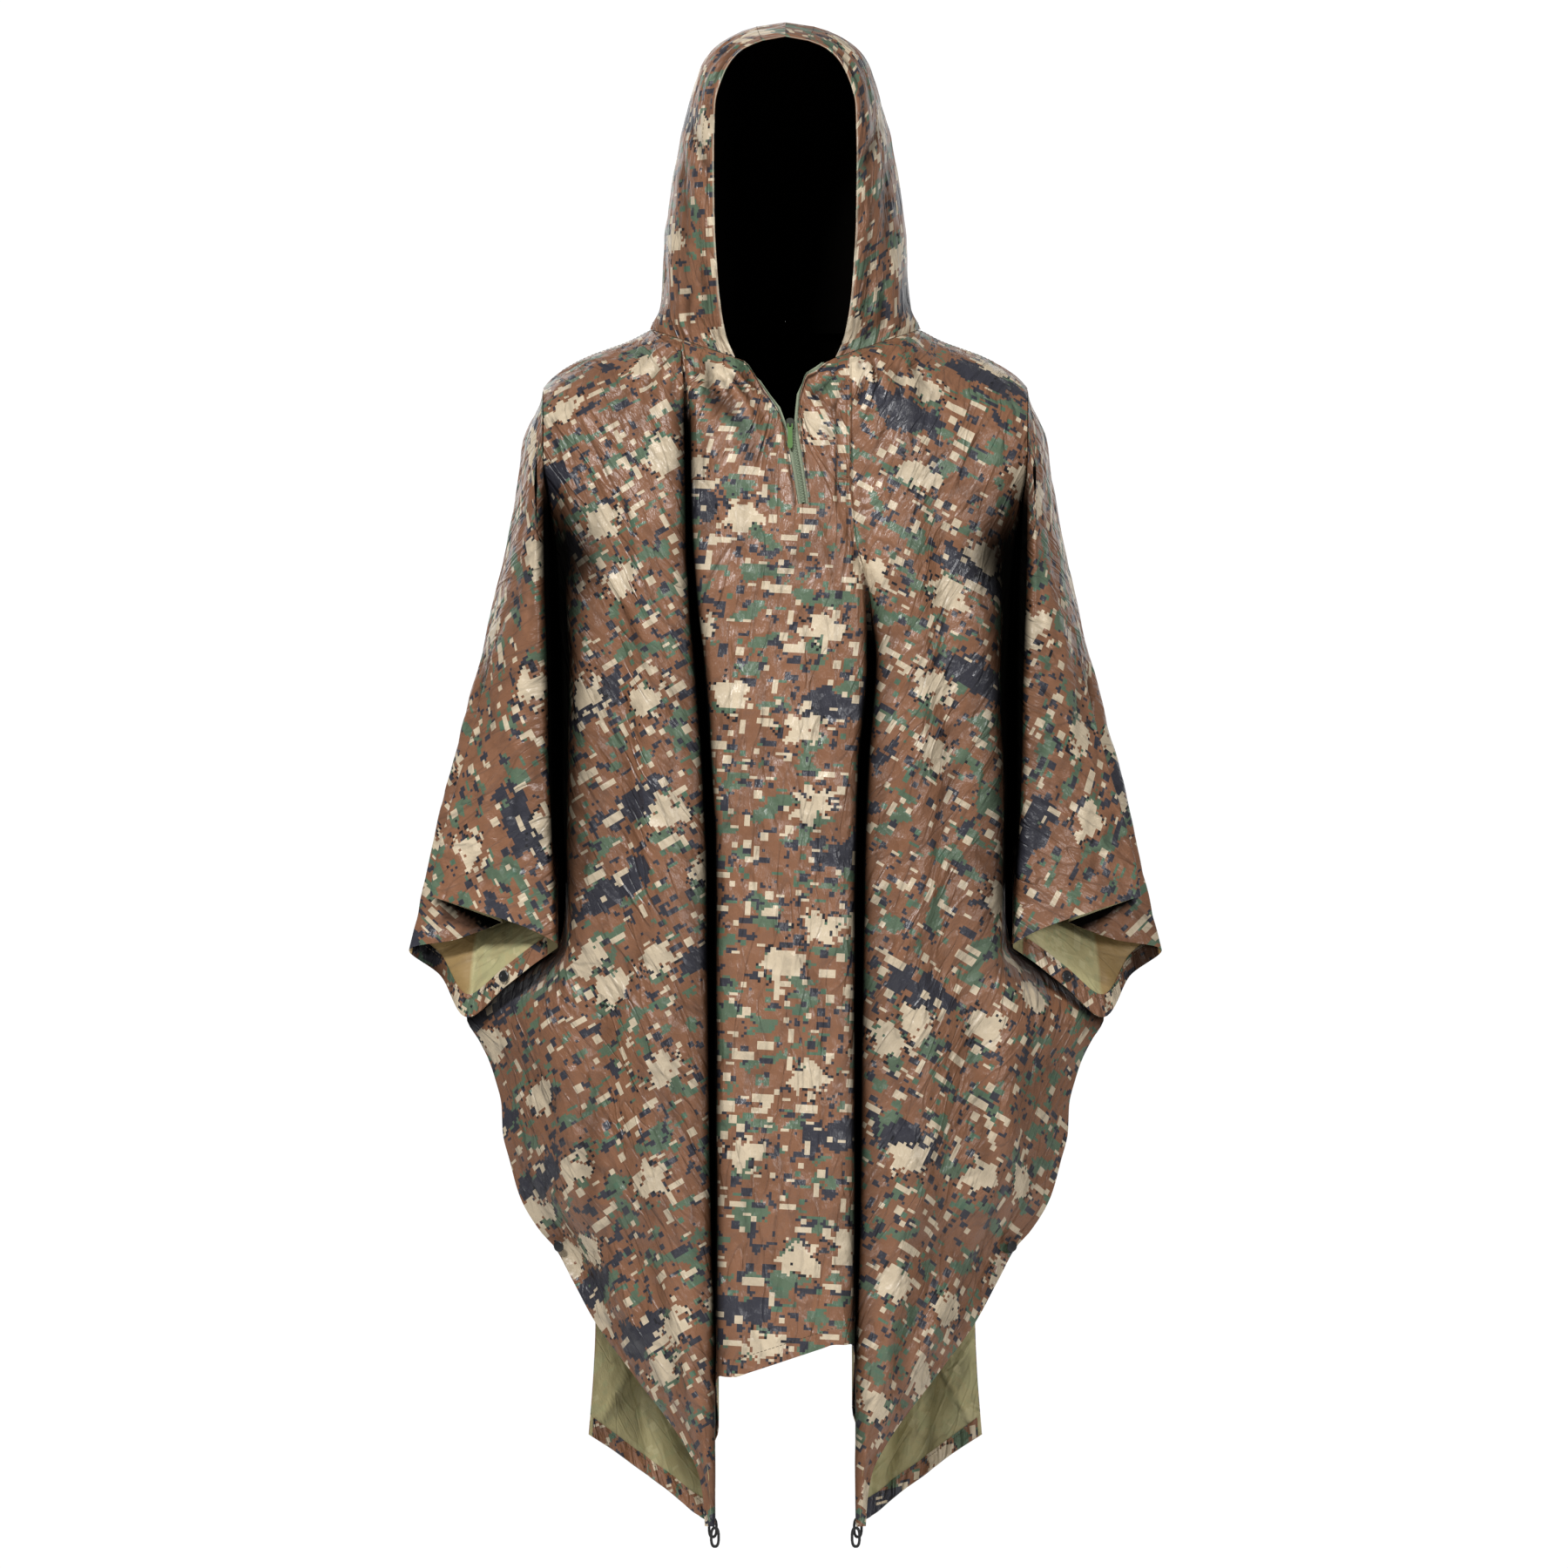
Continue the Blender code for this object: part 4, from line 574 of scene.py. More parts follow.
def printed(tree, at):
    """Colours of the print, from its map: blots, blobs, bars and squares of whole cells on brown.

    Each blot is stepped noise above a limit; a die thrown for each cell frays its edge.
    """
    cell, die = dice(tree, at, PRINT_CELL, PRINT_CELL)
    fray = times(tree, minus(tree, die, 0.5), 0.07)

    def blots(scale, limit, **more):
        return calc(tree, "GREATER_THAN", plus(tree, noise(tree, cell, scale, **more), fray), limit)

    def bars(colour, tint, kinds):
        for width, height, share, move in kinds:
            bar = dice(tree, moved(tree, cell, move=move), PRINT_CELL * width, PRINT_CELL * height)
            colour = over(tree, colour, tint, calc(tree, "GREATER_THAN", bar[1], 1 - share))
        return colour

    colour = over(tree, BROWN, BROWN_DEEP, times(tree, noise(tree, at, 9.0), 0.5))
    green = blots(36, 0.615, stretch=(0.75, 1.3), move=(3, 1))
    colour = bars(over(tree, colour, GREEN, times(tree, green, 0.9)), GREEN, GREEN_BARS)
    colour = over(tree, colour, CHARCOAL, blots(70, 0.668, stretch=(0.9, 1.1), move=(7, 5)))
    colour = bars(colour, CHARCOAL, CHARCOAL_BARS)
    dark_blob = blobs(tree, cell, 6.6, 0.15, (0.52, 1.5), (0.3, 0.7), 0.36)
    colour = over(tree, colour, CHARCOAL, dark_blob)
    tan_blob, rim = (blobs(tree, cell, 10.0, radius, (0.85, 1.15), (0.55, 0.25), 0.40)
                     for radius in (0.155, 0.23))
    specks = times(tree, rim, calc(tree, "GREATER_THAN", die, 0.80))
    colour = bars(over(tree, colour, PITCH, specks), TAN, TAN_BARS)
    return over(tree, colour, TAN, tan_blob)


# Relief of the crumpled surface: scale and depth of the facets with their squeeze, and of the
# creases with their slant in degrees.
FACETS = ((13.0, 5.5, 0.55), (31.0, 3.2, 0.7), (70.0, 1.5, 0.85))
SLANTED = ((13.0, 1.1, 32), (17.0, -0.9, -38), (30.0, 0.7, 8), (42.0, -0.5, 75))


def cloth(name, inside):
    """Coated cloth: the print outside, the khaki coating with the print's ghost inside.

    Its surface is crumpled: the distance to scattered points makes flat facets in three sizes.
    Long thin creases run where slanted noise crosses its middle value, with the weave over all.
    """
    made, tree, shader = new_material(name)
    at = node(tree, "UVMap", {}, uv_map="print").outputs[0]
    shade, ochre_shade = (node(tree, "Attribute", {}, attribute_name=attribute).outputs["Fac"]
                   for attribute in ("shade", "ochre_shade"))
    colour = printed(tree, at)
    if inside:
        colour = over(tree, KHAKI, colour, times(tree, noise(tree, at, 14), 0.42))
        patches = times(tree, noise(tree, at, 11, move=(2, 2)), 0.6)
        # The ochre tint is painted shade, on the facet inside the cuff that turns from the light.
        colour = over(tree, over(tree, colour, KHAKI_SHADE, patches), OCHRE, ochre_shade)
    height, crease_shade = noise(tree, at, 8.0, detail=2.0), 0.0
    for scale, gain, squeeze in FACETS:
        facets = node(tree, "TexVoronoi", {"Vector": moved(tree, at, (1, squeeze)), "Scale": scale},
                      voronoi_dimensions="2D")
        height = plus(tree, height, times(tree, facets.outputs["Distance"], gain))
    for scale, gain, turn in SLANTED:
        field = noise(tree, at, scale, (1, 0.28), move=(turn, scale), turn=turn, rough=0.5)
        away = times(tree, calc(tree, "ABSOLUTE", minus(tree, field, 0.5)), 26.0)
        line = minus(tree, 1.0, calc(tree, "MINIMUM", away, 1.0))
        height = plus(tree, height, times(tree, line, gain))
        crease_shade = plus(tree, crease_shade, times(tree, line, 0.16 if gain < 0 else 0.0))
    wrinkle = minus(tree, noise(tree, at, 60, stretch=(1, 0.5), detail=4.0, move=(1, 3)), 0.5)
    height = plus(tree, height, times(tree, calc(tree, "ABSOLUTE", wrinkle), 2.4))
    height = plus(tree, height, times(tree, noise(tree, at, 1400.0, rough=0.5), 0.05))
    # Painted shade: a dark line along each sunken crease.
    colour = over(tree, colour, PITCH, crease_shade)
    # Below 0 the shade attribute lifts the colour as a painted highlight; above 0 it pulls it
    # towards black as painted shade and takes the specular away.
    colour = over(tree, colour, PAINTED_HIGHLIGHT, times(tree, shade, -1.0))
    bump = node(tree, "Bump", {"Height": height, "Strength": 0.45 if inside else 1.0,
                               "Distance": 0.0012})
    connect(tree, shader, {
        "Normal": bump.outputs[0], "Base Color": over(tree, colour, GLOOM, shade),
        "Roughness": plus(tree, 0.5 if inside else 0.29, times(tree, noise(tree, at, 40), 0.16)),
        "Specular IOR Level": times(tree, minus(tree, 1.0, shade), 0.40 if inside else 0.52)})
    return made


OUTSIDE, INSIDE = cloth("printed_cloth_outside", False), cloth("printed_cloth_inside", True)
CLOTH_THICK, HEM_WIDTH = 1.0, 20.0


def mirrored(lines, seed):
    """The same creases on the other side, each a little moved and stronger or weaker."""
    rng = np.random.default_rng(seed)
    out = []
    for rise, width, *flat in lines:
        line = np.array(flat, dtype=float).reshape(-1, 2) * (-1, 1) + rng.uniform(-6, 6, 2)
        out.append((rise * rng.uniform(0.7, 1.2), width * rng.uniform(0.85, 1.2), *line.ravel()))
    return out


SIDE_CREASES = [
    (-1.8, 7, -118, -12, -104, -60, -100, -110), (2.2, 8, -72, -16, -50, -48, -28, -74),
    (-1.8, 6, -84, -14, -66, -44, -44, -76, -30, -96), (1.8, 7, -98, -8, -88, -40, -74, -80),
    (1.6, 9, -150, -5, -158, -60, -170, -120, -175, -170),
    (-1.4, 6, -136, -8, -138, -50, -146, -96), (-3.5, 15, -202, -160, -198, -205, -186, -250),
    (2.0, 8, -214, -60, -206, -110, -200, -150), (2.2, 9, -168, -190, -164, -250, -170, -300),
    (-1.6, 6, -130, -200, -124, -250, -126, -290), (-1.4, 5, -135, -317, -149, -354, -152, -390),
    (1.4, 5, -118, -300, -132, -350, -138, -410), (1.2, 5, -104, -290, -118, -350, -122, -420),
    (-2.0, 9, -170, -300, -160, -380, -150, -470, -146, -540),
    (2.2, 9, -186, -380, -180, -450, -176, -520), (-1.8, 6, -195, -479, -193, -501, -202, -518),
    (2.6, 9, -210, -609, -199, -642, -210, -663),
    (3.0, 12, -201, -671, -209, -740, -220, -808, -224, -857),
    (-2.5, 11, -176, -640, -182, -720, -190, -800, -186, -870),
    (-1.8, 7, -180, -960, -156, -944, -131, -928),
    (2.0, 10, -120, -560, -128, -660, -132, -760, -128, -860),
    (-2.0, 9, -104, -600, -108, -700, -106, -800), (1.5, 8, -100, -900, -96, -980, -90, -1050),
    (-1.6, 8, -130, -880, -118, -960, -104, -1030),
    (-1.3, 4.5, -228, -700, -214, -722, -196, -732),
    (1.2, 4.5, -236, -760, -214, -772, -200, -768), (-1.3, 5, -150, -580, -138, -600, -120, -606),
    (1.3, 5, -160, -840, -142, -858, -126, -862),
]
CENTRE_CREASES = [
    (-1.8, 6, 30, -160, 44, -215, 60, -262), (1.8, 6, 44, -150, 62, -205, 74, -250),
    (-1.5, 6, -40, -120, -36, -170, -44, -220), (1.5, 6, -58, -110, -60, -170, -54, -240),
    (1.8, 8, -30, -440, -10, -480, 2, -500), (-1.5, 6, -40, -430, -22, -470, -10, -490),
    (1.6, 10, -40, -300, -44, -380, -36, -460), (-1.6, 9, 34, -320, 30, -420, 36, -520),
    (1.4, 8, 10, -560, 16, -640, 12, -720), (-1.5, 8, -24, -640, -28, -740, -20, -830),
    (1.4, 9, 40, -700, 44, -800, 38, -880), (-1.3, 7, -50, -860, -34, -890, -20, -900),
    (1.1, 6, 20, -880, 36, -920, 44, -960), (-2.0, 8, 66, -110, 72, -160, 80, -220, 84, -260),
]
for number in range(14):                   # gathers that fan out from the neck seam
    turn = math.radians(215 + 8 * number)
    start = np.array([-104.0 + 4.2 * number, 8.0 - 2.2 * number])
    reach = 52 + 14 * math.sin(number * 2.1)
    middle = start + 0.5 * reach * np.array([math.cos(turn), math.sin(turn)])
    end = start + reach * np.array([math.cos(turn + 0.12), math.sin(turn + 0.12)])
    SIDE_CREASES.append(((3.4, -3.2, 2.4, -2.6)[number % 4], 3.6, *start, *middle, *end))
SIDE_STEPS = [8, 8, 7, 7, 7, 7, 7, 3, 8, 3, 8, 3]     # columns between the knots of one side
LOOSE = [0, 0.7, 1, 1, 1, 1, 1, 0.8, 0.2, 0, 0, 0.3, 0.9]         # how far a knot may crease
# DARK is the painted shade in each knot's hollow.
DARK = [1, 1, 0.85, 0.3, 0.05, 0, 0.06, 0.45, 1, 1, 1, 1, 0.2]    # how dark its hollow is
TOP = 60                                   # rows from the top edge down to the chest
TOP_ROWS = np.linspace(0, 1, TOP)
PANEL_LENGTH = 1010.0                      # from the chest down to the hem
PANEL_HEM = 1 - HEM_WIDTH / PANEL_LENGTH   # where the hem begins, as a share of it
DOWN_ROWS = np.concatenate([np.linspace(0, PANEL_HEM, 172)[:-1], np.linspace(PANEL_HEM, 1, 6)])


def by_knot(s, values, middle):
    """Values of one side's knots, with `middle` between the two sides, read along the columns."""
    return np.interp(s, np.arange(26 + len(middle)), values + middle + values[::-1])


def still(grid, nodes, radius):
    """1 over the cloth, falling to 0 near the middle of each CAD node."""
    free = np.ones(grid.shape[:2])
    for cad_node in nodes:
        low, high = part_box(cad_node)
        away = np.linalg.norm(grid - (low + high) * 500, axis=2)
        free *= smoothstep(0.5, 1.0, away / radius)
    return free


def column_at(s, knot):
    """The column of a grid that lies nearest to a place along the knots."""
    return int(np.argmin(np.abs(s - knot)))


def hollows(depth, strength=0.42, full=4.5):
    """Painted shade in the hollows of a relief, by their depth in mm."""
    return strength * smoothstep(0.3, full, depth)


front_s = places(SIDE_STEPS + [4] * 11 + SIDE_STEPS[::-1])[::-1]
front_grid = panel(True, front_s, TOP_ROWS, DOWN_ROWS)
columns = len(front_s)
rows = np.arange(len(front_grid))[:, None]
u, v = run_lengths(front_grid, columns // 2, TOP - 1)
slit = slice(column_at(front_s, 18), column_at(front_s, 17))
by_zip = smoothstep(4, 26, np.abs(front_grid[:TOP, :, 0] - front_grid[:TOP, [slit.start + 2], 0]))
loose = by_knot(front_s, LOOSE, [1.0] * 10) * still(
    front_grid, ["snap_side_front_left", "snap_side_front_right"], 24)
loose[:TOP] *= by_zip * smoothstep(0, 6, rows[:TOP])
loose[TOP:TOP + 32] *= mix(by_zip[-1:], 1.0, smoothstep(0, 14, rows[:32]))
x, z = front_grid[..., 0], front_grid[..., 2]
relief = creases(x, z, SIDE_CREASES + mirrored(SIDE_CREASES, 3) + CENTRE_CREASES)
relief = (relief + rumpled(u, v, 11)) * loose
front_grid += normals(front_grid) * relief[..., None]

# Painted shade: the deep folds, the hollows of the creases, the armpit, and the shadow below the
# cuff.
by_side = (front_s < 6) | (front_s > 29)
pleat_start = np.where(x < 0, smoothstep(-25, -75, z), smoothstep(-215, -290, z))
deep = np.where(by_side, smoothstep(-60, -200, z), pleat_start)
deep = deep * (1 - smoothstep(-900, -1120, z) * 0.5)
edge_dark = np.where(by_side, 1 - 0.85 * smoothstep(520, 600, -z), 1.0)
folds = by_knot(front_s, DARK, [0.0] * 10)[None] * deep * edge_dark
gathers = np.exp(-((np.abs(x) - 56) / 38) ** 2 - ((z + 36) / 44) ** 2)
hollow = hollows(-relief, mix(0.42, 0.72, gathers), mix(4.5, 2.4, gathers))
armpit = 0.8 * np.exp(-((np.abs(x) - 205) / 26) ** 2 - ((z + 205) / 38) ** 2)
below_cuff = np.clip(-584 - (np.abs(x) - 218) * 0.739 - z, 0, None)
below_cuff /= 5 + 15 * smoothstep(262, 308, np.abs(x))
cuff_shadow = 0.96 * np.exp(-below_cuff ** 1.5) * smoothstep(-535, -565, z)
cuff_shadow *= smoothstep(214, 228, np.abs(x))
dark = 1 - (1 - folds) * (1 - hollow) * (1 - armpit) * (1 - cuff_shadow)
# A little painted shade all down the sides.
dark = np.maximum(dark, 0.10 * smoothstep(80, 120, np.abs(x)))
# A pale painted highlight on the cloth's edge round the V and beside the slit, with a dark line of
# painted shade next to it.
open_edge = (front_s > 13.6) & (front_s < 21.4)
dark[1:3, open_edge], dark[0, open_edge] = 0.8, -0.5
for column, beside in ((slit.start, slit.start - 1), (slit.stop, slit.stop + 1)):
    dark[:TOP, column], dark[:TOP, beside] = -0.2, 0.65
keep = np.ones((len(front_grid) - 1, columns - 1), bool)
keep[:TOP - 1, slit] = False
near, far = column_at(front_s, 25.5), column_at(front_s, 9.5)
# The inner face takes painted shade towards black towards the top.
front = shell("front_cloth", front_grid, CLOTH_THICK,
              [(0, near, column_at(front_s, 28), 209, (0, 0)),
               (near, far, columns // 2, 183, (900, 0)),
               (far, columns, column_at(front_s, 7), 151, (1800, 0))],
              [OUTSIDE, INSIDE], dark, keep, gloom=smoothstep(-420, -200, z), level=TOP - 1,
              hangs=True)
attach(front, "poncho")
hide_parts("front_panel")


# ======================================================================== back of the body sheet
# The other half of the same rectangle, hanging from the shoulders behind the hood, with softer
# pleats.

BACK_CREASES = [
    (2.0, 12, -20, -10, -26, -120, -24, -240, -30, -380), (-1.8, 10, 14, -20, 18, -140, 14, -300),
    (1.8, 11, 30, -300, 34, -460, 28, -620), (-1.8, 10, -10, -420, -14, -560, -8, -700),
    (1.6, 9, -30, -700, -34, -800, -26, -920), (-1.5, 8, 34, -700, 30, -820, 36, -930),
    (-1.4, 6, -40, -60, -10, -74, 24, -70), (1.4, 7, -36, -520, -12, -536, 16, -530),
    (-4.0, 4, -149, -997, -162, -1021, -182, -1058), (-3.6, 4, 151, -999, 165, -1026, 182, -1056),
]
back_s = places(SIDE_STEPS + [7] * 5 + SIDE_STEPS[::-1])
back_grid = panel(False, back_s, TOP_ROWS, DOWN_ROWS)
columns = len(back_s)
u, v = run_lengths(back_grid, columns // 2, TOP - 1)
loose = by_knot(back_s, LOOSE, [1.0] * 4) * still(
    back_grid, ["snap_side_back_left", "snap_side_back_right"], 24)
loose[:TOP] *= smoothstep(0, 16, rows[:TOP])
x, z = back_grid[..., 0], back_grid[..., 2]
back_lines = mirrored(mirrored(SIDE_CREASES, 5), 6) + mirrored(SIDE_CREASES, 7) + BACK_CREASES
relief = (creases(x, z, back_lines) + rumpled(u, v, 21)) * loose
back_grid += normals(back_grid) * relief[..., None]
# Painted shade: the deep folds and the hollows of the creases outside; inside, towards the top,
# beside the arms, and on the facet below the crease across each lower corner, darkest on the
# crease.
deep = smoothstep(-60, -240, z) * (1 - smoothstep(-900, -1120, z) * 0.6)
edge_dark = np.where((back_s < 6) | (back_s > 23), 1 - 0.85 * smoothstep(520, 600, -z), 1.0)
folds = by_knot(back_s, DARK, [0.0] * 4)[None] * deep * edge_dark
beside_arm = (np.abs(back_s - 14.5) > 11) * (1 - smoothstep(590, 640, -z))
corner = 153.4 + (-1005 - z) * 0.55 - np.abs(x)       # from the crease across each lower corner
corner_shade = 0.18 * smoothstep(-1, 2, corner) + 0.5 * np.exp(-(corner / 2.5) ** 2)
corner_shade *= smoothstep(-940, -990, z)
gloom = np.maximum(smoothstep(-420, -200, z), np.maximum(beside_arm, corner_shade))
near, far = column_at(back_s, 9.5), column_at(back_s, 19.5)
back = shell("back_cloth", back_grid, CLOTH_THICK,
             [(0, near, column_at(back_s, 7), 29, (2700, 0)),
              (near, far, columns // 2, 2, (3600, 0)),
              (far, columns, column_at(back_s, 22), -29, (4500, 0))],
             [OUTSIDE, INSIDE], 1 - (1 - folds) * (1 - hollows(-relief)), gloom=gloom,
             level=TOP - 1, hangs=True)
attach(back, "poncho")
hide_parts("back_panel")


# ======================================================================== cloth over the arms
# Where the same rectangle falls over each arm it is folded in behind the elbow. The long fold down
# its front is laid flat, and the side edge forms the cuff, which stands open and shows the coating.

# Sections of the cloth over the arm at -X (x positive here): fold lip beside the body, side of the
# arm, ridge of the long fold, half depth at the lip, and how far the fold is laid under.
SLEEVE = table("z lip_x side_x ridge_x depth fold", [
    (-39, 236, 239, 238, 60, 0),
    (-70, 236, 252, 246, 74, 0),
    (-110, 236, 259, 251, 84, 0),
    (-162, 235.5, 266, 256, 88, 0),
    (-221, 235, 279.5, 266, 90, 0),
    (-309, 232, 300.5, 287, 92, 4),
    (-413, 230, 328, 315, 92, 22),
    (-507, 226, 350, 338, 90, 48),
    (-589, 221, 368.5, 348, 86, 71),
])
# The hem of the cuff, from the body side over the front, out to the tip, and back underneath.
CUFF = table("knot x y z", [
    (0, 222, -62, -580), (1, 221.5, -72, -581), (2, 226, -79, -578), (3, 252, -81, -565),
    (4, 300, -64, -549), (5, 343, -40, -536), (6, 347, -36, -535), (7, 343, -32, -536),
    (8, 281, -42, -558), (9, 277, -37, -560), (10, 281, -32, -562), (11, 322, -20, -577),
    (12, 368.5, 6, -588), (13, 337, 7, -613), (14, 311, -19, -653), (15, 273, -44, -623),
    (16, 240, -59, -597), (17, 222.5, -52, -585),
])
TIP_KNOT = 12                              # the knot at the outermost point of the cuff
# Place of each knot round the arch at the shoulder, from front (-1) to back (1).
CAP_PLACE = np.array([-1.0, -0.993, -0.96, -0.78, -0.6, -0.5, -0.44, -0.38, -0.32, -0.26, -0.2,
                      -0.1, 0, 0.34, 0.64, 0.96, 0.993, 1.0])
CAP_X, CAP_TOP, CAP_HEIGHT, CAP_HALF_DEPTH = 236.9, -39.7, 71.0, 80.0
# Share of the length over which each knot leaves the arch for its section.
SETTLE = np.array([0.001, 0.03, 0.07] + [0.10] * 12 + [0.07, 0.03, 0.001])
CUFF_BLEND, UNDERARM_BLEND = (0.52, 1.0), (0.66, 0.97)     # where the tube turns into the hem
FOLD_LAYER = 5.0                           # depth of each turn of the long fold
BACK_SEAM_ASIDE = 3.0                      # the seam behind lies nearer the body
PLEAT_BOTTOM = table("z x y", [
    (-39, 237.4, 79), (-110, 237.4, 79), (-150, 231.7, 66), (-195, 226.7, 52), (-260, 223.7, 45),
    (-325, 221.5, 45), (-440, 221.1, 45), (-480, 222.5, 45), (-589, 222.5, 45),
])


def sleeve_section(z, k):
    """x (positive) and y of knot k of the arm cloth at heights z, on the tube above the cuff."""
    lip, side, ridge, depth, fold = (read(SLEEVE, name, z) for name in SLEEVE if name != "z")
    laid = smoothstep(0, 14, fold)

    def lens(x, power):
        share = np.clip((x - lip) / np.maximum(side - lip, 1e-6), 0, 1)
        return depth * np.clip(1 - share ** power, 0, 1) ** 0.75

    ridge_y, plain = lens(ridge, 2.1), mix(ridge, side, (k - 5) * 0.14)
    if k in (0, 17):
        aside = BACK_SEAM_ASIDE * np.clip((-110 - z) / 85, 0, 1) if k else 0
        x, y = read(PLEAT_BOTTOM, "x", z) - aside, read(PLEAT_BOTTOM, "y", z)
    elif k in (1, 16):
        x, y = lip + 0.4, depth - mix(1.2, 9, smoothstep(105, 200, -z))
    elif k in (5, 6, 7):
        x = mix(plain, ridge - (0 if k == 6 else 4), laid)
        y = mix(lens(plain, 2.1), ridge_y - (k - 5) * FOLD_LAYER * 0.8, laid)
    elif k in (8, 9, 10):
        x = mix(plain, ridge - fold + (0 if k == 9 else 4), laid)
        y = mix(lens(plain, 2.1), ridge_y + 0.20 * fold - (k - 5) * FOLD_LAYER, laid)
    elif k == 11:
        x = mix(plain, mix(ridge - fold, side, 0.5), laid)
        y = mix(lens(plain, 2.1), 0.45 * ridge_y - 2 * laid, laid)
    else:
        near_lip = lip + np.minimum(6, 0.22 * (side - lip)) + 0.8
        x, power = {2: (near_lip, 2.4), 3: (mix(lip, ridge, 0.45), 2.4),
                    4: (mix(lip, ridge, 0.76), 2.2), TIP_KNOT: (side, 1),
                    13: (mix(lip, side, 0.78), 1.9), 14: (mix(lip, side, 0.42), 2.4),
                    15: (near_lip, 2.4)}[k]
        y = lens(x, power)
    return x, -y if k < TIP_KNOT else y


def sleeve(side_sign, s, down):
    """Middle surface of the cloth over one arm, from the shoulder arch to the hem of the cuff.

    Every knot runs straight down in height; its x and y leave the arch on a sine, follow the
    section table, and turn into the cuff's hem on an S curve.
    """
    net = np.empty((len(down), len(CUFF["knot"]), 3))
    for k, place in enumerate(CAP_PLACE):
        top_y = place * CAP_HALF_DEPTH
        top_z = CAP_TOP - CAP_HEIGHT * (1 - math.sqrt(1 - place ** 2))
        z = mix(top_z, CUFF["z"][k], down)
        x, y = sleeve_section(z, k)
        turn = smoothstep(*(UNDERARM_BLEND if k > 14 else CUFF_BLEND), down)
        x = x + turn * (CUFF["x"][k] - x[-1])
        y = y + turn * (CUFF["y"][k] - y[-1])
        settle = np.sin(np.clip(down / SETTLE[k], 0, 1) * math.pi / 2)
        net[:, k] = np.stack([side_sign * mix(CAP_X, x, settle), mix(top_y, y, settle), z], axis=-1)
    return across(net, s)


def varied(lines, seed, least):
    """The same creases, each a little stronger or weaker."""
    gains = np.random.default_rng(seed).uniform(least, 1.2, 20)
    return [(rise * gain, *rest) for (rise, *rest), gain in zip(lines, gains)]


ARM_FRONT_CREASES = [
    (1.6, 6, 262, -90, 268, -180, 280, -260), (-1.6, 6, 248, -120, 250, -200, 247, -280),
    (-1.8, 4.5, 275, -362, 255, -379, 246, -404, 243, -430),
    (-1.6, 4.5, 277, -391, 265, -444, 262, -480), (1.6, 6, 300, -400, 292, -460, 280, -520),
    (-1.4, 5, 320, -470, 300, -510, 276, -530), (1.6, 6, 242, -440, 238, -500, 240, -550),
    (1.5, 5, 270, -300, 256, -330, 244, -340), (-1.4, 5, 292, -300, 286, -360, 288, -400),
    (1.3, 5, 312, -430, 308, -480, 316, -520), (-1.2, 4, 262, -230, 272, -262, 288, -286),
    (1.3, 5, 246, -60, 254, -100, 250, -150),
]
ARM_BACK_CREASES = [
    (-2.0, 8, 250, -120, 256, -240, 262, -380), (2.0, 9, 270, -160, 284, -300, 300, -420),
    (-1.8, 7, 300, -340, 306, -440, 300, -540), (1.6, 7, 246, -320, 250, -430, 256, -540),
    (-1.6, 6, 320, -460, 290, -500, 262, -510), (1.5, 6, 330, -540, 300, -560, 276, -590),
]
CUFF_CREASE = ((302, -569), (309, -631))   # x and z of its upper and lower end
SLEEVE_STEPS = [5, 3, 8, 9, 8, 4, 4, 7, 4, 4, 9, 10, 10, 10, 10, 8, 5]
SLEEVE_LENGTH = 540.0
SLEEVE_HEM = 1 - HEM_WIDTH / SLEEVE_LENGTH           # where the hem begins, as a share of it
SLEEVE_DOWN = np.concatenate([np.linspace(0, 0.05, 6)[:-1],
                              np.linspace(0.05, SLEEVE_HEM, 100)[:-1],
                              np.linspace(SLEEVE_HEM, 1, 6)])
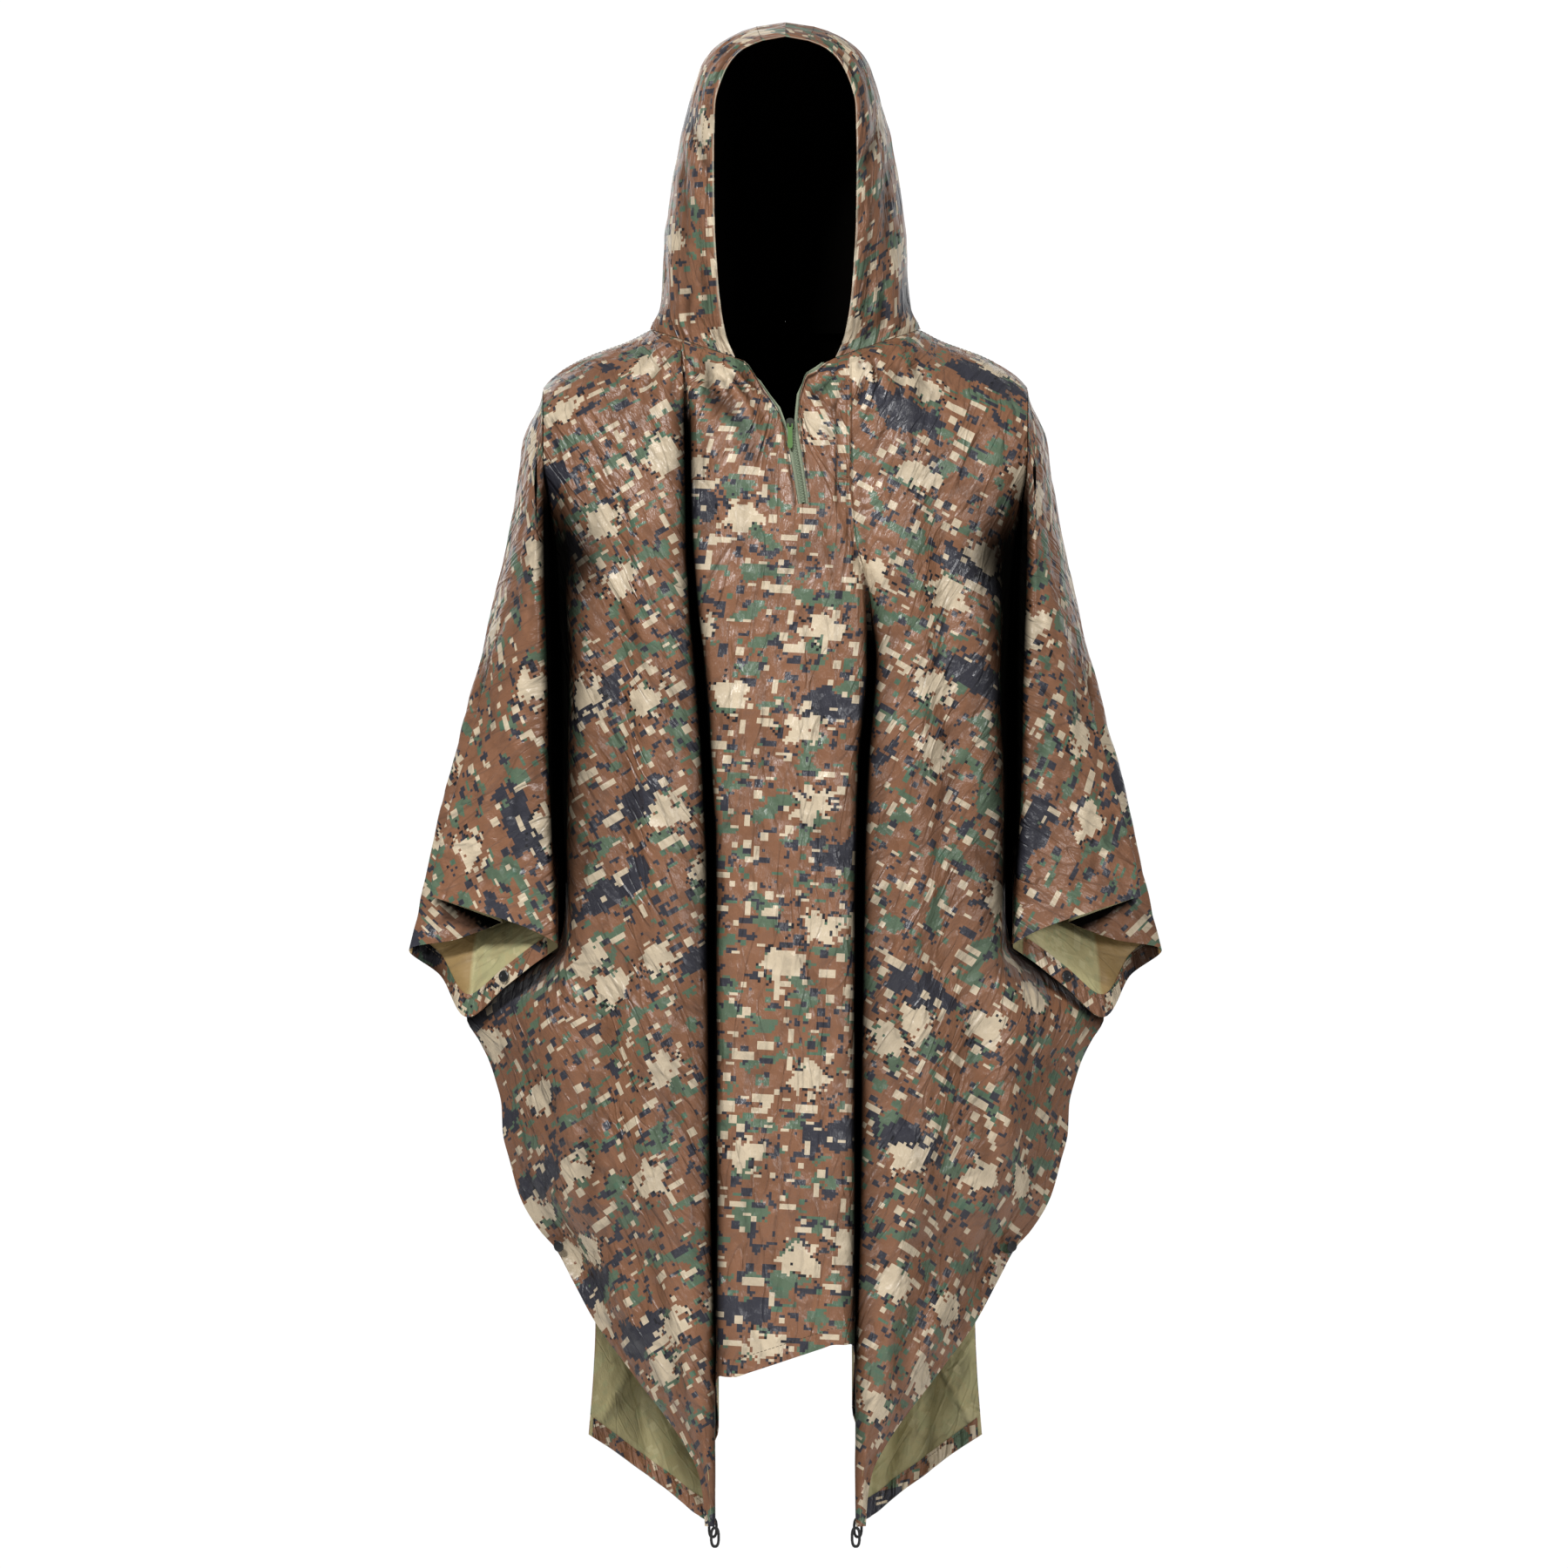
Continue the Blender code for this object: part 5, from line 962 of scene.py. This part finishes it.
# By knot: how far the cloth may crease, and how much painted shade it takes in the folds.
SLEEVE_LOOSE = [0, 0.1, 0.7, 1, 1, 0.7, 0.4, 0.3, 0.2, 0.1, 0.2, 1, 0.8, 1, 1, 0.8, 0.2, 0]
SLEEVE_DARK = [1, 1, 0.35, 0, 0, 0, 0.2, 0.7, 1, 1, 0.8, 0, 0, 0, 0, 0.3, 1, 1]
sleeve_grids = {}
for side_name, sign in (("left", -1), ("right", 1)):
    s = places(SLEEVE_STEPS)
    grid = sleeve(sign, s, SLEEVE_DOWN)
    x, z = np.abs(grid[..., 0]), grid[..., 2]
    u, v = run_lengths(grid, column_at(s, 12), 5)
    free = (np.interp(s, np.arange(18), SLEEVE_LOOSE)[None]
            * smoothstep(0, 9, np.arange(len(grid))[:, None]))
    free = free * (1 - 0.7 * smoothstep(0.93, 0.97, SLEEVE_DOWN)[:, None])
    free *= still(grid, [f"snap_cuff_{end}_{side_name}" for end in ("front", "back")], 22)
    relief = np.where(s < 12, creases(x, z, varied(ARM_FRONT_CREASES, 31 + sign, 0.75)),
                      creases(x, z, ARM_BACK_CREASES))
    relief = (relief + rumpled(u, v, 40 + sign)) * free
    grid += -sign * normals(grid) * relief[..., None]
    # Painted shade: the long fold from the elbow down, and what lies under it above the cuff.
    tucked = (s > 5.5) & (s < 11)
    low = smoothstep(60, 160, -z) * np.where(tucked, 1.0, 1 - 0.75 * smoothstep(480, 560, -z))
    lay = np.where(tucked, smoothstep(250, 420, -z), 1.0)
    under = smoothstep(-7, 2, z + 536 + (348.7 - x) * 0.535) * (s > 8.1) * (s < 11.9) * (z < -480)
    under = under * (x < read(SLEEVE, "ridge_x", z) + 1)
    folds = np.interp(s, np.arange(18), SLEEVE_DARK)[None] * low * lay
    dark = 1 - (1 - folds) * (1 - hollows(-relief)) * (1 - under)
    # Inside the open cuff the back of the cloth is creased from its top to the lowest point; beyond
    # the crease its inner face takes an ochre painted shade.
    (crease_x, crease_top), (low_x, crease_low) = CUFF_CREASE
    beyond = x - mix(crease_x, low_x, (crease_top - z) / (crease_top - crease_low))
    ochre_shade = 0.95 * smoothstep(0, 2.5, beyond) * (s > 11.5) * smoothstep(-440, -500, z)
    ridge = 2.5 * np.exp(-(beyond / 5) ** 2) * (s > 12)
    ridge = ridge * smoothstep(-520, -560, z) * (1 - smoothstep(-620, -640, z))
    grid += -sign * normals(grid) * ridge[..., None]
    if sign > 0:
        grid, s, dark, ochre_shade = grid[:, ::-1], s[::-1], dark[:, ::-1], ochre_shade[:, ::-1]
    sleeve_grids[side_name] = (grid, s)
    mid, hinge = column_at(s, 4), column_at(s, 12)
    ends = [(0, hinge), (hinge, len(s))][::-sign]
    turn, offset = -60 * sign, 6300 + 900 * sign
    spans = [(*ends[0], mid, turn, (offset, 0)), (*ends[1], hinge, -turn, (offset + 900, 0))]
    z = grid[..., 2]
    # The inner face takes painted shade towards black above the cuff and beside the body.
    beside_body = (s < 2) | (s > 16.3)
    gloom = np.maximum(smoothstep(-470, -380, z), beside_body * smoothstep(-572, -560, z))
    arm = shell("arm_cloth_" + side_name, grid, CLOTH_THICK, spans, [OUTSIDE, INSIDE], dark,
                gloom=gloom, ochre_shade=ochre_shade, level=20, hangs=True)
    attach(arm, "poncho")
    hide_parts("sleeve_" + side_name)


# ======================================================================== hood
# Two halves of the same cloth, joined over the crown and down the back, and gathered a little into
# the neck seam. The rim is turned in and stitched.

HOOD = table("h width opening front back", [
    (0.0, 132, 49, 81.7, 98),
    (0.07, 123.5, 58, 88, 104),
    (0.24, 119.5, 65.5, 97, 116),
    (0.45, 112, 69, 104, 124),
    (0.62, 103, 69.5, 104, 126),
    (0.78, 90, 68.5, 100, 122),
    (0.88, 78, 60, 94, 114),
    (0.95, 56, 45, 88, 104),
    (0.985, 30, 24, 84, 97),
    (1.0, 0, 0, 82, 94),
])
CROWN = table("v z", [
    (0, 303.5), (0.25, 314), (0.5, 321), (0.75, 312), (1, 282),
])
HOOD_LIFT = 1.0                            # the hood's foot stands this much above the neck seam
HOOD_START = math.radians(20)              # slant of the hood's side at the rim


def hood(side_sign, h, v):
    """Middle surface of one half: h goes from neck to crown, v from the rim to the back seam."""
    angle = mix(HOOD_START, math.pi, v)
    sin, cos = np.sin(angle), np.cos(angle)
    width, opening, front, back = (read(HOOD, name, h) for name in HOOD if name != "h")
    swell = (sin - math.sin(HOOD_START)) / (1 - math.sin(HOOD_START))
    x = np.where(cos > 0, opening + (width - opening) * swell, width * sin)
    y = np.where(cos > 0, -front * cos / math.cos(HOOD_START), -back * cos)
    foot_y = np.where(cos > 0, -NECK_FRONT * neck_oval(x), NECK_BACK * neck_oval(x))
    y = mix(y, foot_y, 1 - smoothstep(0.0, 0.12, h))
    x = np.maximum(x, SEAM_HALF)
    foot_z = neck_z(x[:1], cos[:1] > 0) + HOOD_LIFT
    z = mix(foot_z, read(CROWN, "z", v), h)
    return np.stack(np.broadcast_arrays(side_sign * x, y, z), axis=-1)


HOOD_CREASES = [
    (-2.2, 5, 96, 226, 85, 196, 74, 168), (1.6, 5, 90, 160, 77, 124, 70, 88),
    (-1.8, 6, 104, 206, 98, 150, 101, 96), (1.8, 7, 112, 126, 108, 66, 113, 18),
    (-1.6, 6, 84, 112, 80, 62, 76, 18), (1.6, 5, 82, 236, 76, 206, 70, 186),
    (-1.4, 4.5, 92, 66, 96, 38, 92, 14), (1.4, 4.5, 100, 60, 104, 36, 101, 12),
    (-1.6, 5, 116, 110, 118, 66, 124, 26), (1.3, 5, 60, 292, 72, 270, 82, 244),
    (-1.3, 5, 46, 296, 60, 282, 72, 262), (1.2, 4.5, 66, 60, 62, 34, 58, 14),
]
HOOD_HEIGHTS, HOOD_ROUNDS = np.linspace(0, 1, 76)[:, None], np.linspace(0, 1, 84)[None]
hood_grids = {}
for side_name, sign in (("left", -1), ("right", 1)):
    grid = hood(sign, HOOD_HEIGHTS, HOOD_ROUNDS)
    x, z = np.abs(grid[..., 0]), grid[..., 2]
    u, v = run_lengths(grid, 0, 20, hangs=False)
    relief = creases(x, z, varied(HOOD_CREASES, 50 + sign, 0.8))
    relief = relief * np.where(grid[..., 1] < 0, 1.0, 0.7) + 0.55 * rumpled(u, v, 60 + sign)
    arcs = 1.3 * np.sin(HOOD_ROUNDS * 62) * smoothstep(0.70, 0.88, HOOD_HEIGHTS)
    relief += arcs * (1 - smoothstep(0.25, 0.5, HOOD_ROUNDS))
    relief *= smoothstep(0, 0.05, HOOD_HEIGHTS) * (1 - smoothstep(0.94, 0.99, HOOD_HEIGHTS))
    relief *= smoothstep(0.0, 0.08, HOOD_ROUNDS) * (1 - smoothstep(0.94, 0.99, HOOD_ROUNDS))
    grid += sign * normals(grid) * relief[..., None]
    # Painted shade in the hollows of the creases.
    hollow = 0.5 * smoothstep(0.2, 2.6, -relief)
    # A pale painted highlight along the folded rim.
    hollow[:, 0] = -0.75                   # the folded rim shows pale
    if sign < 0:
        grid, hollow = grid[::-1], hollow[::-1]
    normal = normals(grid)
    normal[0 if sign < 0 else -1, :, 0] = 0.0
    normal[:, -1, 0] = 0.0
    hood_grids[side_name] = (grid, normal)
    # The whole inner face is painted black, as shade.
    half = shell("hood_cloth_" + side_name, grid, CLOTH_THICK,
                 [(0, 83, 0, 2 * sign, (9450 + 450 * sign, 0))], [OUTSIDE, INSIDE], hollow, None,
                 normal, gloom=1.0, level=38)
    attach(half, "poncho")
    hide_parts("hood_" + side_name)


# ======================================================================== turned hems and hood rim
# The edge of the cloth turned inside, 20 mm wide, and stitched: along the front and back, round the
# open side of each cuff, and round the face opening. Its print side shows inside the garment.

HEM_THICK, HEM_GAP = 0.8, 0.15
HEM_SHIFT = CLOTH_THICK / 2 + HEM_GAP + HEM_THICK / 2


def turned(name, cad_node, grid, normal, rows, columns, turn, shade=0.0):
    """A turned edge: rows and columns of a sheet's grid, moved in along its normals."""
    strip = (grid - normal * HEM_SHIFT)[rows, columns]
    middle = strip.shape[1] // 2
    piece = shell(name, strip, HEM_THICK, [(0, strip.shape[1], middle, turn, (600, 300))],
                  [OUTSIDE], shade, None, normal[rows, columns])
    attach(piece, "poncho")
    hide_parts(cad_node)


def columns_of(s, a, b, past=1):
    """The columns of a grid from one place along the knots to another."""
    low, high = sorted((column_at(s, a), column_at(s, b)))
    return slice(low, high + past)


front_normal, back_normal = normals(front_grid), normals(back_grid)
last_rows = slice(-6, None)
turned("hem_front_cloth", "hem_front", front_grid, front_normal, last_rows,
       columns_of(front_s, 12, 23), 180)
turned("hem_back_cloth", "hem_back", back_grid, back_normal, last_rows,
       columns_of(back_s, 0.15, 28.85), 10)
for side_name, sign in (("left", -1), ("right", 1)):
    grid, s = sleeve_grids[side_name]
    underside = columns_of(s, 12.15, 16.4)
    # Painted shade on the turned hem, darker towards the tip of the cuff.
    shade = 0.05 + 0.8 * smoothstep(318, 345, np.abs(grid[last_rows, underside, 0]))
    turned("hem_cuff_cloth_" + side_name, "hem_cuff_" + side_name, grid, normals(grid), last_rows,
           underside, 25 * sign, shade)
    grid, normal = hood_grids[side_name]
    # The turned rim is painted black, as shade.
    turned("hood_rim_cloth_" + side_name, "hood_rim_" + side_name, grid, normal, slice(3, -3),
           slice(0, 8), 0, 1.0)


# ======================================================================== seam tape
# Tape over the seams inside: down the hood's centre seam, round the neck seam, and the cloth that
# turns round at the bottom of the deep fold beside each arm and behind each side closed by snaps.
# All of it is painted black, as shade.

def plastic(name, colour, roughness, scale, depth):
    """Moulded plastic: the colour a little uneven, a fine grain in the gloss and the surface."""
    made, tree, shader = new_material(name)
    at = node(tree, "TexCoord", {}).outputs["Object"]
    grain = node(tree, "TexNoise", {"Vector": at, "Scale": scale, "Detail": 3.0}).outputs[0]
    bump = node(tree, "Bump", {"Height": grain, "Strength": 0.4, "Distance": depth})
    darker = tuple(c * 0.6 for c in colour[:3]) + (1,)
    connect(tree, shader, {
        "Normal": bump.outputs[0],
        "Base Color": over(tree, colour, darker, times(tree, grain, 0.7)),
        "Roughness": plus(tree, roughness - 0.1, times(tree, grain, 0.2))})
    return made


def woven(name, colour):
    """Narrow woven tape: ribs of thread across it, from a wave on object coordinates."""
    made = plastic(name, colour, 0.75, 900.0, 0.0002)
    tree = made.node_tree
    at = node(tree, "TexCoord", {}).outputs["Object"]
    ribs = node(tree, "TexWave", {"Vector": at, "Scale": 260.0, "Distortion": 0.5},
                bands_direction="Z").outputs[1]
    bump = node(tree, "Bump", {"Height": ribs, "Strength": 0.6, "Distance": 0.0003})
    connect(tree, tree.nodes["Principled BSDF"], {"Normal": bump.outputs[0]})
    return made


def ribbon(name, rings):
    """A thin strip between lines of points that run along it, painted black as shade."""
    strip = np.array(rings).transpose(1, 0, 2)
    piece = shell(name, strip, 0.3, [(0, strip.shape[1], 0, 0, (300, 700))], [INSIDE], 1.0)
    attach(piece, "poncho")


def at_heights(line, heights):
    """Points of a line that runs down, read at the given heights."""
    return np.stack([np.interp(-heights, -line[:, 2], line[:, i]) for i in (0, 1)] + [heights],
                    axis=-1)


HOOD_MIDDLE_Z = 150                        # the tape faces the middle of the hood
left_half = hood_grids["left"][0][::-1]
seam_line = np.concatenate([left_half[:-1, -1], left_half[-1, ::-1]])[2:-1]
inward = unit(np.array([0, 0, HOOD_MIDDLE_Z]) - seam_line * (0, 1, 1))
tape_line = seam_line * (0, 1, 1) + inward * 1.7
ribbon("hood_seam_tape", [tape_line + (x, 0, 0) for x in (-7, -3.5, 0, 3.5, 7)])
round_neck = np.linspace(math.radians(-68), math.radians(248), 150)
neck_x = NECK_HALF_WIDTH * np.cos(round_neck)
neck_y = np.where(np.sin(round_neck) > 0, NECK_BACK, NECK_FRONT) * np.sin(round_neck)
neck_line = np.stack([neck_x * 0.985, neck_y * 0.985, neck_z(neck_x, neck_y < 0)], axis=-1)
ribbon("neck_seam_tape", [neck_line + (0, 0, lift) for lift in (-3, 0, 4, 8)])
CLOSED_HEIGHTS = np.linspace(-636, -866, 60)         # where the snaps hold a side closed
NEAR_EDGE = 0.4                            # the facing starts this far from the edge, in knots
for side_name, sign in (("left", -1), ("right", 1)):
    grid, s = sleeve_grids[side_name]
    facing = []
    for place, panel_grid, panel_s, knot, lowest, turned_in in (
            ("front", front_grid, front_s, 0, -500, 1), ("back", back_grid, back_s, 17, -516, -1)):
        outer, nearby = ((0, NEAR_EDGE) if sign < 0 else
                         (panel_s.max(), panel_s.max() - NEAR_EDGE))
        edge, arm_edge = panel_grid[:, column_at(panel_s, outer)], grid[:, column_at(s, knot)]
        heights = np.linspace(-108, lowest, 90)
        body_side = at_heights(edge, heights) + (-3 * sign, 1.4 * turned_in, 0)
        arm_side = at_heights(arm_edge, heights) + (3 * sign, 1.4 * turned_in, 0)
        ribbon(f"fold_{place}_{side_name}", [body_side, (body_side + arm_side) / 2, arm_side])
        facing.append(at_heights(panel_grid[:, column_at(panel_s, nearby)], CLOSED_HEIGHTS)
                      + (-1.5 * sign, 1.5 * turned_in, 0))
        if place == "front":
            facing.append(at_heights(edge, CLOSED_HEIGHTS) * (1, 0, 1) - (2.5 * sign, 0, 0))
    ribbon("side_facing_" + side_name, facing)


# ======================================================================== neck zip
# A short coil zip, open at the top. Woven olive tape shows a little between the cloth's edges, the
# coil runs down each tape, and the slider's tab hangs on its lug.

def dress(cad_node, finish):
    """A CAD node keeps its mesh and takes the finish."""
    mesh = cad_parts[cad_node].data
    mesh.materials.clear()
    mesh.materials.append(finish)


def distance_along(path):
    """Distance of each point of a path from its first one."""
    return np.pad(np.cumsum(np.linalg.norm(np.diff(path, axis=0), axis=1)), (1, 0))


def read_along(values, run, at):
    """Rows of values that belong to the lengths `run`, read at other lengths."""
    return np.stack([np.interp(at, run, column) for column in values.T], axis=-1)


def beads(name, middles, direction, up, length, thick, finish):
    """Small pointed bars, one at each middle: two rings of four points and two tips each."""
    direction = unit(direction)
    up = unit(up - direction * np.sum(up * direction, axis=1, keepdims=True))
    t, end = thick / 2, length * 0.36
    ring = np.array([(t, 0), (0, t), (-t, 0), (0, -t)])
    local = np.zeros((10, 3))
    local[:, 0] = [-length / 2] + [-end] * 4 + [end] * 4 + [length / 2]
    local[1:5, 1:] = local[5:9, 1:] = ring
    axes = np.stack([direction, np.cross(direction, up), up], axis=1)
    points = middles[:, None] + local @ axes
    sides = np.array([(1, 2, 6, 5), (2, 3, 7, 6), (3, 4, 8, 7), (4, 1, 5, 8)])
    tips = np.array([(0, 2, 1), (0, 3, 2), (0, 4, 3), (0, 1, 4), (9, 5, 6), (9, 6, 7), (9, 7, 8),
                     (9, 8, 5)])
    first = 10 * np.arange(len(middles))[:, None, None]
    faces = (sides + first).reshape(-1, 4).tolist() + (tips + first).reshape(-1, 3).tolist()
    mesh = bpy.data.meshes.new(name)
    mesh.from_pydata((points.reshape(-1, 3) / 1000).tolist(), [], faces)
    mesh.materials.append(finish)
    mesh.shade_smooth()
    piece = add(name, mesh)
    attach(piece, "poncho")


TAPE_CLOTH = woven("zip_tape_weave", (0.270, 0.310, 0.210, 1))
COIL = plastic("zip_coil_nylon", (0.150, 0.190, 0.120, 1), 0.42, 500.0, 0.0001)
COIL_LIGHT = plastic("zip_coil_thread", (0.300, 0.360, 0.240, 1), 0.5, 700.0, 0.0001)
SLIDER_PAINT = plastic("slider_paint", (0.030, 0.034, 0.024, 1), 0.35, 400.0, 0.0001)
PULL_PLASTIC = plastic("pull_plastic", (0.100, 0.210, 0.055, 1), 0.34, 300.0, 0.0001)
for cad_node, finish in (("zip_tape_left", TAPE_CLOTH), ("zip_tape_right", TAPE_CLOTH),
                         ("zip_chain", COIL), ("zip_slider", SLIDER_PAINT),
                         ("zip_pull", PULL_PLASTIC)):
    dress(cad_node, finish)

left_edge, right_edge = front_grid[:TOP, slit.stop], front_grid[:TOP, slit.start]
zip_line = (left_edge + right_edge) / 2
run = distance_along(zip_line)
teeth = np.arange(4.0, run[-1] - 1.0, 1.5)
out = read_along(front_normal[:TOP, slit.start], run, teeth)
toward_right = unit(read_along(right_edge - left_edge, run, teeth))
aside = np.where(np.arange(len(teeth)) % 2 == 0, 0.7, -0.7)[:, None]
beads("zip_teeth_closed", read_along(zip_line, run, teeth) + toward_right * aside + out * 1.9,
      toward_right, out, 2.6, 0.9, COIL_LIGHT)
for side_name, knots in (("left", (14, 17)), ("right", (18, 21))):
    span = columns_of(front_s, *knots, past=0)
    edge = front_grid[0, span]
    run = distance_along(edge)
    teeth = np.arange(1.0, run[-1] - 1.0, 1.6)
    outward = read_along(front_normal[0, span], run, teeth)
    rising = unit(read_along(edge - front_grid[1, span], run, teeth))
    beads("zip_teeth_" + side_name, read_along(edge, run, teeth) + rising * 2.2 - outward * 0.5,
          rising, outward, 1.8, 0.8, COIL)


# ======================================================================== snaps and corner loops
# Black moulded snaps, pressed into the turned edges: two stand open at each cuff, two close each
# side. A loop of black cord at each corner takes a peg when the sheet is used as a shelter.

SNAP_PLASTIC = plastic("snap_plastic", (0.012, 0.012, 0.013, 1), 0.38, 600.0, 0.0001)
LOOP_CORD = woven("loop_cord", (0.010, 0.010, 0.010, 1))
for cad_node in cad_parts:
    if cad_node.startswith("snap_"):
        dress(cad_node, SNAP_PLASTIC)
    elif cad_node.startswith("loop_"):
        dress(cad_node, LOOP_CORD)


# ======================================================================== stitching
# Thread in short stitches, 3 mm long with 1 mm between, along every hem and seam.

THREAD = woven("sewing_thread", (0.085, 0.060, 0.032, 1))
STITCH, STITCH_GAP, THREAD_THICK = 3.0, 1.0, 0.55


def seam_stitches(name, grid, normal, at, side=1, shift=0.0):
    """Stitches on one face of a sheet, at equal steps along a line of its grid."""
    path = (grid + normal * side * (CLOTH_THICK / 2 + shift))[at]
    run = distance_along(path)
    middles = np.arange(2.0, run[-1] - 2.0, STITCH + STITCH_GAP)
    half = STITCH / 2
    direction = read_along(path, run, middles + half) - read_along(path, run, middles - half)
    beads(name, read_along(path, run, middles), direction,
          read_along((normal * side)[at], run, middles), STITCH, THREAD_THICK, THREAD)


back_line = columns_of(back_s, 0.6, 28.4)
seam_stitches("stitch_front_hem", front_grid, front_normal, (-6, columns_of(front_s, 12, 23)))
seam_stitches("stitch_back_hem", back_grid, back_normal, (-6, back_line))
seam_stitches("stitch_back_hem_inside", back_grid, back_normal, (-5, back_line), -1,
              HEM_THICK + HEM_GAP)
for side_name, sign in (("left", -1), ("right", 1)):
    grid, s = sleeve_grids[side_name]
    normal, underside = normals(grid), columns_of(s, 12.15, 16.4, past=0)
    seam_stitches("stitch_cuff_" + side_name, grid, normal, (-6, underside))
    seam_stitches("stitch_cuff_inside_" + side_name, grid, normal, (-5, underside), -1,
                  HEM_THICK + HEM_GAP)
    grid, normal = hood_grids[side_name]
    for seam, at in (("rim", (slice(2, -2), 7)), ("crown", (1 if sign < 0 else -2, slice(1, -1))),
                     ("hood_back", (slice(2, -2), -2))):
        seam_stitches(f"stitch_{seam}_{side_name}", grid, normal, at)
for side_name, knots in (("left", (2.2, 12.5)), ("right", (23.5, 32))):
    seam_stitches("stitch_neck_" + side_name, front_grid, front_normal,
                  (1, columns_of(front_s, *knots, past=0)))
for side_name, column in (("left", slit.stop + 1), ("right", slit.start - 1)):
    seam_stitches("stitch_zip_" + side_name, front_grid, front_normal, (slice(0, TOP), column))


# ======================================================================== floor, light and camera
# A plain pale floor a little below the corners, soft daylight all round, and a long lens in front.

FLOOR_RADIUS, FLOOR_Z, FLOOR_SIDES = 2.2, -1.56, 96
turn = np.arange(FLOOR_SIDES) * 2 * math.pi / FLOOR_SIDES
rim = np.stack([FLOOR_RADIUS * np.cos(turn), FLOOR_RADIUS * np.sin(turn), 0 * turn + FLOOR_Z],
               axis=-1)
floor_mesh = bpy.data.meshes.new("floor")
floor_mesh.from_pydata(rim.tolist(), [], [list(range(FLOOR_SIDES))])
FLOOR_PAINT, tree, shader = new_material("floor")
connect(tree, shader, {"Base Color": (0.86, 0.86, 0.86, 1), "Roughness": 0.8})
floor_mesh.materials.append(FLOOR_PAINT)
add("floor", floor_mesh)

world = bpy.data.worlds.new("daylight")
world.use_nodes = True
sky = world.node_tree
seen = node(sky, "LightPath", {}).outputs["Is Camera Ray"]
connect(sky, sky.nodes["Background"], {"Color": (1, 1, 1, 1),
                                       "Strength": plus(sky, times(sky, seen, 0.79), 0.25)})
bpy.context.scene.world = world
bpy.context.scene.view_settings.view_transform = "Standard"


def soft_light(name, place, aim, size, power):
    """A square area light that shines from its place towards the aim."""
    light = bpy.data.lights.new(name, "AREA")
    light.shape, light.size, light.energy = "SQUARE", size, power
    lamp = add(name, light)
    lamp.location = place
    step = np.array(aim) - np.array(place)
    pitch = math.atan2(math.hypot(step[0], step[1]), -step[2])
    lamp.rotation_euler = (pitch, 0, math.atan2(step[1], step[0]) - math.pi / 2)


soft_light("key", (-2.0, -3.4, 2.6), (0, 0, -0.4), 0.7, 200)
soft_light("fill", (2.6, -3.6, 0.4), (0, 0, -0.5), 1.0, 70)
soft_light("rear", (-1.2, 3.6, 1.0), (0, 0, -0.5), 2.4, 30)
soft_light("rear_right", (1.6, 3.4, 0.6), (0, 0, -0.5), 2.4, 20)

camera = bpy.data.cameras.new("camera")
camera.lens, camera.sensor_width, camera.clip_end = 375.1, 36.0, 60.0
eye = add("camera", camera)
eye.location = (-0.0013, -16.0, -0.425)
eye.rotation_euler = (math.pi / 2, 0, 0)
bpy.context.scene.camera = eye
